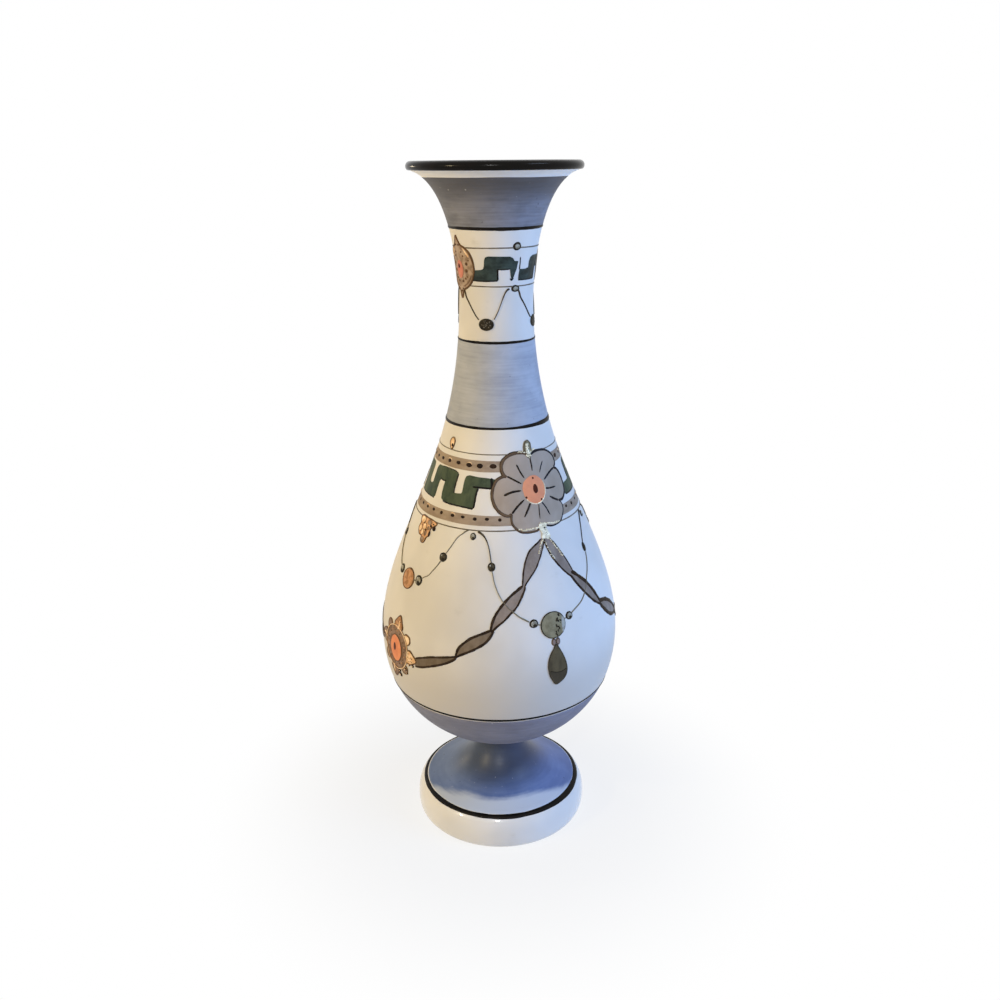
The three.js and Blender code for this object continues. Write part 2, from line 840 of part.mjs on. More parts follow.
function add(name, geometry, finish) {
  const mesh = new THREE.Mesh(geometry, finish);
  mesh.name = name;
  vase.add(mesh);
}

function addGlass() {
  add("foot", footGeometry(), opalGlass);
  add("vessel", vesselGeometry(), opalGlass);
}

// Edges of a ring, kept clear of the coat beside it.
function above({ height, width }, profile = vesselProfile) {
  return profile.climb(height, width / 2 + edgeGap);
}

function below({ height, width }, profile = vesselProfile) {
  return profile.climb(height, -width / 2 - edgeGap);
}

function addRings() {
  add("lip_enamel", lipEnamelGeometry(), lipGloss);
  const mouthCoatTop = flareHeight - mouthCoatDrop;
  const mouthCoat = coat(vesselProfile, above(mouthLine), mouthCoatTop, mouthCoatStation);
  add("mouth_blue_coat", mouthCoat, blueWash);
  add("mouth_black_line", ring(vesselProfile, mouthLine), blackLine);
  add("neck_upper_pinline", beadedRing(neckUpperLine, neckBeadRadius), blackLine);
  add("neck_lower_pinline", beadedRing(neckLowerLine, neckBeadRadius), blackLine);
  add("neck_black_line", ring(vesselProfile, neckLine), blackLine);
  const neckCoat = coat(vesselProfile, above(shoulderLine), below(neckLine), neckCoatStation);
  add("neck_blue_coat", neckCoat, blueWash);
  add("shoulder_black_line", ring(vesselProfile, shoulderLine), blackLine);
  add("shoulder_upper_pinline", ring(vesselProfile, bandUpperLine), blackLine);
  add("upper_bead_band", ring(vesselProfile, upperBeadBand), brownBand);
  add("lower_bead_band", ring(vesselProfile, lowerBeadBand), brownBand);
  add("shoulder_lower_pinline", ring(vesselProfile, bandLowerLine), blackLine);
  add("belly_black_line", ring(vesselProfile, bellyLine), blackLine);
  const stemTop = vesselProfile.climb(stemHeight, edgeGap + enamelGap);
  const bellyCoat = coat(vesselProfile, stemTop, below(bellyLine), bellyCoatStation);
  add("belly_blue_coat", bellyCoat, blueWash);
  const stemBottom = footProfile.climb(stemHeight, -edgeGap - enamelGap);
  const fade = footProfile.climb(footLineHeight, footLine.width / 2 + footCoatFade);
  add("foot_blue_coat", coat(footProfile, fade, stemBottom, footCoatStation), blueWash);
  add("foot_black_line", ring(footProfile, footLine, footLineStation), blackLine);
}

function addKeys() {
  const opposite = flowerAngle + halfTurn;
  add("neck_key_front", keyGeometry(neckKey, flowerAngle, neckLongestEdge), greenKey);
  add("neck_key_back", keyGeometry(neckKey, opposite, neckLongestEdge), greenKey);
  add("shoulder_key_right", keyGeometry(shoulderKey, flowerAngle, longestEdge), greenKey);
  add("shoulder_key_left", keyGeometry(shoulderKey, opposite, longestEdge), greenKey);
}

// What stands on the axis of each flower, and hangs from it.
function addFlower(side, angle) {
  const flower = { angle, height: flowerHeight };
  add(`flower_petals_${side}`, plate(petalsShape(), flower), mauveEnamel);
  add(`flower_heart_${side}`, plate(disc(flowerHeartRadius, discSteps), flower), coralEnamel);
  const crown = vesselProfile.climb(flowerHeight, notchRadius + edgeGap);
  add(`flower_finial_${side}`, plate(finialShape(), { angle, height: crown }), gilding);
  const chin = vesselProfile.climb(flowerHeight, -notchRadius - edgeGap);
  add(`flower_tie_${side}`, plate(tieShape(), { angle, height: chin }), gilding);
  add(`garland_${side}_left`, garlandGeometry(angle, -1), mauveEnamel);
  add(`garland_${side}_right`, garlandGeometry(angle, 1), mauveEnamel);
  add(`deep_chain_${side}`, chainGeometry(angle, deepChainLow, deepBeadShares), darkBead);
  add(`pendant_${side}`, pendantGeometry(angle), oliveEnamel);
}

// What stands on the axis of each side rosette, from the neck to the belly.
function addSideOrnament(side, angle) {
  const neck = { angle, height: neckRosetteHeight, edge: neckLongestEdge };
  add(`neck_rosette_gilding_${side}`, plate(neckRosetteShape(), neck), gilding);
  const neckHeart = disc(neckRosetteHeartRadius, smallDiscSteps);
  add(`neck_rosette_heart_${side}`, plate(neckHeart, neck), coralEnamel);
  const finial = {
    angle: angle + sideFinialDriftAngle,
    height: above(bandUpperLine),
    lift: enamelGap,
  };
  add(`side_finial_${side}`, plate(finialShape(), finial), gilding);
  const sprig = { angle: angle + sprigDriftAngle, height: below(bandLowerLine), lift: enamelGap };
  add(`gilt_sprig_${side}`, plate(sprigShape(), sprig), gilding);
  const chain = chainGeometry(angle, shallowChainLow, shallowBeadShares);
  add(`shallow_chain_${side}`, chain, darkBead);
  const medallion = disc(smallMedallionRadius, smallDiscSteps);
  add(`gilt_medallion_${side}`, plate(medallion, { angle, height: shallowChainLow }), gilding);
  const rosette = { angle, height: rosetteHeight };
  add(`belly_rosette_gilding_${side}`, plate(rosetteShape(), rosette), gilding);
  const heart = disc(rosetteHeartRadius, discSteps);
  add(`belly_rosette_heart_${side}`, plate(heart, rosette), coralEnamel);
}

function addNeckSwags() {
  ["left", "right", "back_right", "back_left"].forEach((side, i) => {
    const middle = flowerAngle + neckSwagSpacingAngle * (i - 0.5);
    add(`neck_swag_${side}`, neckSwagGeometry(middle), darkBead);
  });
}

addGlass();
addRings();
addKeys();
addFlower("front", flowerAngle);
addFlower("back", flowerAngle + halfTurn);
addSideOrnament("left", sideAngle);
addSideOrnament("right", sideAngle + halfTurn);
addNeckSwags();

export default vase;
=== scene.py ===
"""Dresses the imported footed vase: opal glass, fired enamel coats, keys, flowers, garlands and chains.

Sizes inside this file are millimetres and turn into metres when a mesh is made.
Angles run round the vase's axis, from the viewer's side (-Y) towards +X.
A spot on the glass is a pair: an angle in radians and a length walked up the outline.
"""

from __future__ import annotations

import logging
import math
import random
from dataclasses import dataclass
from enum import Enum
from functools import cached_property
from typing import Sequence

import bpy
import numpy as np
from mathutils import Matrix, Vector
from mathutils.geometry import delaunay_2d_cdt


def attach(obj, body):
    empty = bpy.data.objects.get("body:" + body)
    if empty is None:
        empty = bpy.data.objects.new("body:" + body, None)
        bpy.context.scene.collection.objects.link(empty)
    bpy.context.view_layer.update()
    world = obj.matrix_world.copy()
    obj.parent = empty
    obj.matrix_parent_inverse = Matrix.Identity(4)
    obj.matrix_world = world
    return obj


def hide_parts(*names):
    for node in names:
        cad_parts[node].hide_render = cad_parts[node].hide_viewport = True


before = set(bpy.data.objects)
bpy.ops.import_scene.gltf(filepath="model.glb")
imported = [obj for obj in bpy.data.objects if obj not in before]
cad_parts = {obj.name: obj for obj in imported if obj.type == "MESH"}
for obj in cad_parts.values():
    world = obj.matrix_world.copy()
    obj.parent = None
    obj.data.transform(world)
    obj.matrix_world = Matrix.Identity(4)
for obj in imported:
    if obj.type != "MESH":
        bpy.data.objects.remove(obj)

MM = 0.001
HALF_TURN = 180.0
DIP = -0.05  # how far a coat's edge reaches into the glass, so that no gap shows
STEPS = 288  # points in a line that runs right round the vase
BEAD_STEPS = 20  # points round one dot
WAVES = 5  # waves that make up a hand's unevenness
WAVE_HEIGHT = 1.4  # about what those waves add up to
TIP = 0.0009  # square of the share of its width that a line keeps at its tips
DOME_REACH = 1.5  # how far from its edge a domed coat goes on rising
CREASE = math.radians(45)  # edges sharper than this stay sharp
SECTION = np.array([-1.0, -0.6, 0.0, 0.6, 1.0])  # places across a brush line
SECTION_RISE = np.array([0.0, 0.8, 1.0, 0.8, 0.0])  # how much of its height the line has there
LOG = logging.getLogger("vase")

Pair = tuple[float, float]
Path = Sequence[Pair]
Colour = tuple[float, float, float]


# ---------------------------------------------------------------- numbers and lines


def srgb(red: int, green: int, blue: int) -> Colour:
    """Turns a colour as it is seen, 0 to 255, into the linear values that shaders use."""
    seen = (red / 255, green / 255, blue / 255)
    return tuple(v / 12.92 if v <= 0.04045 else ((v + 0.055) / 1.055) ** 2.4 for v in seen)


def flowing(points: Path, step: float = 0.5, closed: bool = False) -> np.ndarray:
    """Runs one smooth line through points, as a loaded brush would.

    Args:
        points: The points that the line passes through.
        step: Spacing of the line's own points.
        closed: Whether the line comes back to its first point.

    Returns:
        An array of points along the line, without a repeated last point when closed.
    """
    p = np.asarray(points, float)
    if closed:
        p = np.vstack([p[-1], p, p[0], p[1]])
    gaps = np.maximum(np.sqrt(np.hypot(*np.diff(p, axis=0).T)), 1e-6)
    runs = np.diff(p, axis=0) / gaps[:, None]
    turns = np.empty_like(p)
    turns[0], turns[-1] = runs[0], runs[-1]
    share = gaps[:-1] / (gaps[:-1] + gaps[1:])
    turns[1:-1] = runs[:-1] * (1 - share)[:, None] + runs[1:] * share[:, None]
    first, last = (1, len(p) - 2) if closed else (0, len(p) - 1)
    made = []
    for i in range(first, last):
        count = max(1, math.ceil(np.hypot(*(p[i + 1] - p[i])) / step))
        t = (np.arange(count) / count)[:, None]
        made.append(
            (2 * t**3 - 3 * t**2 + 1) * p[i]
            + (t**3 - 2 * t**2 + t) * turns[i] * gaps[i]
            + (3 * t**2 - 2 * t**3) * p[i + 1]
            + (t**3 - t**2) * turns[i + 1] * gaps[i]
        )
    if not closed:
        made.append(p[-1:])
    return np.vstack(made)


def cornered(points: Path, cut: float = 0.35, step: float = 0.8) -> np.ndarray:
    """Closes a straight-sided outline whose corners are a little rounded.

    Args:
        points: The outline's corners, in order.
        cut: How far from each corner its rounding starts.
        step: Spacing of the points along the sides.

    Returns:
        An array of points round the outline.
    """
    p = np.asarray(points, float)
    made = []
    for before, corner, after in zip(np.roll(p, 1, 0), p, np.roll(p, -1, 0)):
        ends = []
        for side in (before, after):
            run = side - corner
            size = max(np.hypot(*run), 1e-9)
            ends.append(corner + run / size * min(cut, size * 0.4))
        for t in (0.0, 0.33, 0.67, 1.0):
            made.append((1 - t) ** 2 * ends[0] + 2 * t * (1 - t) * corner + t**2 * ends[1])
    closed = np.vstack([made, made[:1]])
    dense = []
    for a, b in zip(closed[:-1], closed[1:]):
        count = max(1, math.ceil(np.hypot(*(b - a)) / step))
        dense.extend(a + (b - a) * k / count for k in range(count))
    return np.array(dense)


def oval(half_x: float, half_y: float, centre: Pair = (0, 0), count: int = 48) -> np.ndarray:
    """Gives the points of an upright oval from its half width, half height and middle."""
    t = np.arange(count) / count * math.tau
    return np.c_[centre[0] + half_x * np.cos(t), centre[1] + half_y * np.sin(t)]


def enclosed(places: np.ndarray, outline: np.ndarray) -> np.ndarray:
    """Tells which places lie inside a closed outline.

    Args:
        places: The places asked about.
        outline: The outline's points, in order.

    Returns:
        True or False for each place.
    """
    after = np.roll(outline, -1, 0)
    rise = after[:, 1] - outline[:, 1]
    rise[np.abs(rise) < 1e-12] = 1e-12
    lean = (after[:, 0] - outline[:, 0]) / rise
    x, y = places[:, None, 0], places[:, None, 1]
    passed = (outline[None, :, 1] > y) != (after[None, :, 1] > y)
    crossing = outline[None, :, 0] + (y - outline[None, :, 1]) * lean[None, :]
    return np.sum(passed & (x < crossing), 1) % 2 == 1


def nearness(places: np.ndarray, outline: np.ndarray) -> np.ndarray:
    """Gives each place's distance from the nearest point of an outline."""
    apart = places[:, None, :] - outline[None, :, :]
    return np.min(np.hypot(apart[..., 0], apart[..., 1]), 1)


def mirrored(points: Path, middle: float) -> list[Pair]:
    """Reflects points left to right about middle, in reversed order."""
    return [(2 * middle - x, y) for x, y in reversed(list(points))]


# ---------------------------------------------------------------- the glass's outline


@dataclass(frozen=True)
class Sweep:
    """One cubic stretch of the outline: radius and height pairs."""

    start: Pair
    leaving: Pair
    arriving: Pair
    end: Pair

    def points(self, count: int) -> np.ndarray:
        """Samples the stretch.

        Args:
            count: How many points to give.

        Returns:
            An array of radius and height pairs.
        """
        t = np.linspace(0, 1, count)[:, None]
        a, b, c, d = (np.array(p, float) for p in (self.start, self.leaving, self.arriving, self.end))
        return (1 - t) ** 3 * a + 3 * (1 - t) ** 2 * t * b + 3 * (1 - t) * t**2 * c + t**3 * d


class Skin:
    """An outline's outside, walked by its length, and the places on it."""

    def __init__(self, sweeps: Sequence[Sweep], count: int = 120) -> None:
        """Joins the stretches.

        Args:
            sweeps: The outline's stretches, from the lowest up.
            count: Points in each stretch.
        """
        runs = [s.points(count) for s in sweeps]
        self.line = np.vstack([runs[0], *(r[1:] for r in runs[1:])])
        steps = np.hypot(*np.diff(self.line, axis=0).T)
        self.walked = np.r_[0, np.cumsum(steps)]
        slopes = np.gradient(self.line, self.walked, axis=0)
        slopes /= np.hypot(*slopes.T)[:, None]
        self.facing = np.c_[slopes[:, 1], -slopes[:, 0]]

    def radius(self, walked: np.ndarray | float) -> np.ndarray:
        """Gives the radius at a length walked up the outline."""
        return np.interp(walked, self.walked, self.line[:, 0])

    def climb(self, height: np.ndarray | float) -> np.ndarray:
        """Gives the length walked to reach a height."""
        return np.interp(height, self.line[:, 1], self.walked)

    def spots(self, points: Path, turn: float = 0.0) -> np.ndarray:
        """Turns pairs of an angle in degrees and a height into spots, turned by some degrees."""
        p = np.asarray(points, float)
        return np.c_[np.radians(p[:, 0] + turn), self.climb(p[:, 1])]

    def patch(self, points: Path, angle: float, height: float) -> np.ndarray:
        """Turns flat pairs, right and up from a middle on the glass, into spots.

        Args:
            points: Pairs in millimetres along the surface.
            angle: The middle's angle in degrees.
            height: The middle's height.

        Returns:
            An array of spots.
        """
        p = np.asarray(points, float)
        walked = self.climb(height) + p[:, 1]
        return np.c_[math.radians(angle) + p[:, 0] / self.radius(walked), walked]

    def place(self, spots: np.ndarray, lift: np.ndarray | float) -> np.ndarray:
        """Turns spots into points in the room, in metres.

        Args:
            spots: An array of spots.
            lift: Height over the glass, one for all or one for each.

        Returns:
            An array of points.
        """
        angle, walked = spots[:, 0], spots[:, 1]
        out = np.interp(walked, self.walked, self.facing[:, 0])
        up = np.interp(walked, self.walked, self.facing[:, 1])
        radius = self.radius(walked) + out * lift
        height = np.interp(walked, self.walked, self.line[:, 1]) + up * lift
        return np.c_[radius * np.sin(angle), -radius * np.cos(angle), height] * MM


STEM: Pair = (10.2, 40.5)
BELLY: Pair = (53.9, 95.3)
THROAT: Pair = (15.5, 245.6)
FLARE: Pair = (31.7, 295.5)
UNDER_BELLY = math.radians(16.6)
UNDER_FLARE = math.radians(27.3)
BELLY_PULL = 26.8
FLARE_PULL = 15.5


def towards(start: Pair, slope: float, length: float) -> Pair:
    """Gives the point a length away from start along a slope in radians."""
    return (start[0] + length * math.cos(slope), start[1] + length * math.sin(slope))


VESSEL_SKIN = Skin(
    (
        Sweep(STEM, towards(STEM, UNDER_BELLY, BELLY_PULL), (BELLY[0], 66.0), BELLY),
        Sweep(BELLY, (BELLY[0], 139.0), (THROAT[0], 173.1), THROAT),
        Sweep(THROAT, (THROAT[0], 256.3), towards(FLARE, UNDER_FLARE, -FLARE_PULL), FLARE),
    )
)
FOOT_SKIN = Skin(
    (
        Sweep((38.6, 0.0), (39.8, 0.4), (40.4, 2.5), (40.4, 5.5)),
        Sweep((40.4, 5.5), (40.4, 11.4), (38.8, 14.0), (36.8, 15.2)),
        Sweep((36.8, 15.2), (24.8, 19.2), (10.2, 27.0), STEM),
    ),
    60,
)


# ---------------------------------------------------------------- shader nodes


class Wire:
    """A socket's value, worked on with Python's operators."""

    def __init__(self, paint: Paint, socket: bpy.types.NodeSocket) -> None:
        """Holds an output socket and the keeper of its tree."""
        self.paint = paint
        self.socket = socket

    def _math(self, kind: str, first: Wire | float, second: Wire | float) -> Wire:
        """Adds one Math node on two values and gives its result."""
        return self.paint.node("ShaderNodeMath", {"operation": kind}, {0: first, 1: second})

    def __add__(self, other: Wire | float) -> Wire:
        """Adds."""
        return self._math("ADD", self, other)

    __radd__ = __add__

    def __sub__(self, other: Wire | float) -> Wire:
        """Subtracts."""
        return self._math("SUBTRACT", self, other)

    def __rsub__(self, other: float) -> Wire:
        """Subtracts from a number."""
        return self._math("SUBTRACT", other, self)

    def __mul__(self, other: Wire | float) -> Wire:
        """Multiplies."""
        return self._math("MULTIPLY", self, other)

    __rmul__ = __mul__

    def between(self, low: float, high: float) -> Wire:
        """Rises smoothly from 0 at low to 1 at high.

        Args:
            low: Where the rise starts.
            high: Where it ends; below low for a fall.

        Returns:
            The share, 0 to 1.
        """
        settings = {"interpolation_type": "SMOOTHSTEP"}
        swapped = low > high
        ends = (high, low) if swapped else (low, high)
        made = self.paint.node("ShaderNodeMapRange", settings, {0: self, 1: ends[0], 2: ends[1]})
        return 1 - made if swapped else made


class Paint:
    """One material's node tree and the ways in which nodes are added to it."""

    def __init__(self, owner: bpy.types.Material | bpy.types.World) -> None:
        """Empties the node tree of a new material or world."""
        self.owner = owner
        owner.use_nodes = True
        self.tree = owner.node_tree
        self.tree.nodes.clear()

    @classmethod
    def named(cls, name: str) -> Paint:
        """Starts a new material."""
        return cls(bpy.data.materials.new(name))

    def raw(self, kind: str, settings: dict, sockets: dict) -> bpy.types.Node:
        """Adds any node.

        Args:
            kind: The node's type.
            settings: Its properties, which are set first.
            sockets: Values or wires by the socket's name or number.

        Returns:
            The node.
        """
        node = self.tree.nodes.new(kind)
        for key, value in settings.items():
            setattr(node, key, value)
        for key, value in sockets.items():
            if isinstance(value, Wire):
                self.tree.links.new(value.socket, node.inputs[key])
            else:
                node.inputs[key].default_value = value
        return node

    def node(self, kind: str, settings: dict, sockets: dict, out: int | str = 0) -> Wire:
        """Adds any node as raw does and gives one of its outputs, by name or number."""
        return Wire(self, self.raw(kind, settings, sockets).outputs[out])

    def here(self, stretch: Colour = (1, 1, 1)) -> Wire:
        """Gives the place on the piece in metres, each number multiplied by one of stretch."""
        place = self.node("ShaderNodeTexCoord", {}, {}, "Object")
        return self.node("ShaderNodeVectorMath", {"operation": "MULTIPLY"}, {0: place, 1: stretch})

    def noise(self, scale: float, stretch: Colour = (1, 1, 1), detail: float = 3.0) -> Wire:
        """Gives soft noise from 0 to 1: waves in a metre, stretching, and finer layers."""
        sockets = {"Vector": self.here(stretch), "Scale": scale, "Detail": detail, "Roughness": 0.55}
        return self.node("ShaderNodeTexNoise", {}, sockets)

    def blend(self, share: Wire | float, first: Wire | Colour, second: Wire | Colour) -> Wire:
        """Mixes two colours.

        Args:
            share: The second colour's share.
            first: The first colour.
            second: The second colour.

        Returns:
            The mixed colour.
        """
        ends = [c if isinstance(c, Wire) else (*c, 1.0) for c in (first, second)]
        settings = {"data_type": "RGBA", "blend_type": "MIX"}
        return self.node("ShaderNodeMix", settings, {0: share, 6: ends[0], 7: ends[1]}, 2)

    def height(self) -> Wire:
        """Gives the height on the piece in metres."""
        return self.node("ShaderNodeSeparateXYZ", {}, {0: self.here()}, 2)

    def span(self) -> Wire:
        """Gives the distance from the vase's axis in metres."""
        flat = self.here((1, 1, 0))
        return self.node("ShaderNodeVectorMath", {"operation": "LENGTH"}, {0: flat}, "Value")

    def front(self) -> Wire:
        """Gives 1 on the side that faces the viewer, falling to 0 round the flanks."""
        flat = self.node("ShaderNodeVectorMath", {"operation": "NORMALIZE"}, {0: self.here((1, 1, 0))})
        facing = {"operation": "DOT_PRODUCT"}
        return self.node("ShaderNodeVectorMath", facing, {0: flat, 1: (0, -1, 0)}, "Value").between(0.1, 0.95)

    def bump(self, height: Wire, depth: float) -> Wire:
        """Turns a height into a bent normal; depth is what a height of 1 is in metres."""
        return self.node("ShaderNodeBump", {}, {"Height": height, "Distance": depth, "Strength": 1.0})

    def dress(self, sockets: dict) -> bpy.types.Material:
        """Ends the material in one surface shader with these sockets.

        Args:
            sockets: Values or wires of that shader.

        Returns:
            The material.
        """
        shader = self.node("ShaderNodeBsdfPrincipled", {}, sockets, "BSDF")
        self.raw("ShaderNodeOutputMaterial", {}, {"Surface": shader})
        return self.owner


# ---------------------------------------------------------------- finishes


@dataclass(frozen=True)
class Opal:
    """Satin opal glass, faintly uneven, with a few soft rubs of handling; it can carry painted shade low on the belly
    and painted light just under the lip.
    """

    name: str = "opal_glass"
    pale: Colour = srgb(222, 216, 207)
    deep: Colour = srgb(205, 199, 190)
    smudge: Colour = srgb(178, 171, 156)
    # painted shade: the glass darkens towards the bottom of the belly
    dusk: Colour | None = None
    dusk_heights: Pair = (0.11, 0.085)
    # painted light: the glass pales just under the lip, where the flare faces down
    dawn: Colour = srgb(243, 238, 229)
    dawn_heights: Pair = (0.288, 0.292)
    satin: float = 0.42
    polish: float = 0.0

    def make(self) -> bpy.types.Material:
        """Builds the material."""
        paint = Paint.named(self.name)
        cloud = paint.noise(22.0, (1, 1, 0.7))
        rub = paint.noise(90.0, (1, 1, 1.6), 5.0).between(0.62, 0.86)
        colour = paint.blend(cloud.between(0.3, 0.7), self.pale, self.deep)
        colour = paint.blend(rub * 0.5, colour, self.smudge)
        if self.dusk:
            # painted shade darkens the glass towards the bottom of the belly
            colour = paint.blend(paint.height().between(*self.dusk_heights), colour, self.dusk)
            # painted light brightens the glass just under the lip
            colour = paint.blend(paint.height().between(*self.dawn_heights), colour, self.dawn)
        grain = paint.noise(1400.0, (1, 1, 1), 2.0)
        return paint.dress(
            {
                "Base Color": colour,
                "Roughness": self.satin + 0.12 * cloud,
                "IOR": 1.5,
                "Coat Weight": self.polish,
                "Coat IOR": 1.7,
                "Coat Roughness": 0.08,
                "Normal": paint.bump(grain, 0.00002),
            }
        )


@dataclass(frozen=True)
class Wash:
    """A thin enamel coat laid on with a broad brush while the glass turns; it can carry a painted shadow of the lip
    near its top and painted shade and reflection of the belly near the stem.
    """

    name: str
    body: Colour
    streak: Colour
    speck: Colour
    satin: float = 0.55
    # heights and colour of a painted shadow that the flared lip casts on the top of the mouth coat
    smoky: Pair | None = None
    smoke: Colour = srgb(84, 78, 74)
    # painted shade and reflection of the belly on the foot's top, near the stem, and the radii over which it fades
    stem: Colour | None = None
    stem_radii: Pair = (0.029, 0.0145)
    fade: Pair | None = None
    fade_in_front: float = 0.0095
    bare: Colour = srgb(214, 212, 208)

    def make(self) -> bpy.types.Material:
        """Builds the material."""
        paint = Paint.named(self.name)
        fine = paint.noise(60.0, (1, 1, 18.0), 5.0)
        broad = paint.noise(30.0, (1, 1, 3.5), 4.0)
        cloud = paint.noise(85.0, (1, 1, 1.6), 5.0)
        share = fine.between(0.34, 0.68) * 0.32 + broad.between(0.3, 0.7) * 0.22
        share = share + cloud.between(0.34, 0.68) * 0.46
        colour = paint.blend(share, self.body, self.streak)
        if self.smoky:
            # painted shadow of the lip darkens the coat towards its top
            height = paint.height() + (cloud - 0.5) * 0.004
            colour = paint.blend(height.between(*self.smoky) * 0.75, colour, self.smoke)
        if self.stem:
            # painted shade and reflection of the belly darken the coat near the stem
            near = paint.span() + (broad - 0.5) * 0.006
            colour = paint.blend(near.between(*self.stem_radii), colour, self.stem)
        dots = paint.noise(640.0, (1, 1, 1), 1.0)
        colour = paint.blend(dots.between(0.75, 0.8) * 0.6, colour, self.speck)
        colour = paint.blend(dots.between(0.25, 0.2) * 0.3, colour, self.bare)
        if self.fade:
            front = paint.front() * self.fade_in_front
            ragged = paint.span() + front + (fine - 0.5) * 0.003 + (cloud - 0.5) * 0.004
            colour = paint.blend(ragged.between(*self.fade), colour, self.bare)
        return paint.dress(
            {
                "Base Color": colour,
                "Roughness": self.satin + 0.15 * fine,
                "IOR": 1.45,
                "Normal": paint.bump(fine, 0.00004),
            }
        )


@dataclass(frozen=True)
class Enamel:
    """Opaque enamel with a second shade brushed through it and worn spots."""

    name: str
    body: Colour
    shade: Colour
    satin: float = 0.45
    scale: float = 160.0
    stretch: Colour = (1, 1, 1)
    mottle: float = 1.0
    depth: float = 0.00004
    shine: float = 0.22

    def make(self) -> bpy.types.Material:
        """Builds the material."""
        paint = Paint.named(self.name)
        brush = paint.noise(self.scale, self.stretch, 4.0)
        grain = paint.noise(self.scale * 5, (1, 1, 1), 2.0)
        share = brush.between(0.34, 0.68) * 0.8 + grain.between(0.4, 0.7) * 0.2
        return paint.dress(
            {
                "Base Color": paint.blend(share * self.mottle, self.body, self.shade),
                "Roughness": self.satin + 0.15 * grain,
                "Specular IOR Level": self.shine,
                "Normal": paint.bump(brush, self.depth),
            }
        )


@dataclass(frozen=True)
class Gilt:
    """Fired gilding, rubbed bright in places and dull brown where it is thin."""

    name: str
    bright: Colour
    dull: Colour
    metal: float = 0.55
    satin: float = 0.42
    scale: float = 420.0

    def make(self) -> bpy.types.Material:
        """Builds the material."""
        paint = Paint.named(self.name)
        worn = paint.noise(self.scale, (1, 1, 1), 4.0).between(0.36, 0.66)
        return paint.dress(
            {
                "Base Color": paint.blend(worn, self.bright, self.dull),
                "Metallic": self.metal * (1 - worn * 0.7),
                "Roughness": self.satin + 0.25 * worn,
                "Normal": paint.bump(worn, 0.00008),
            }
        )


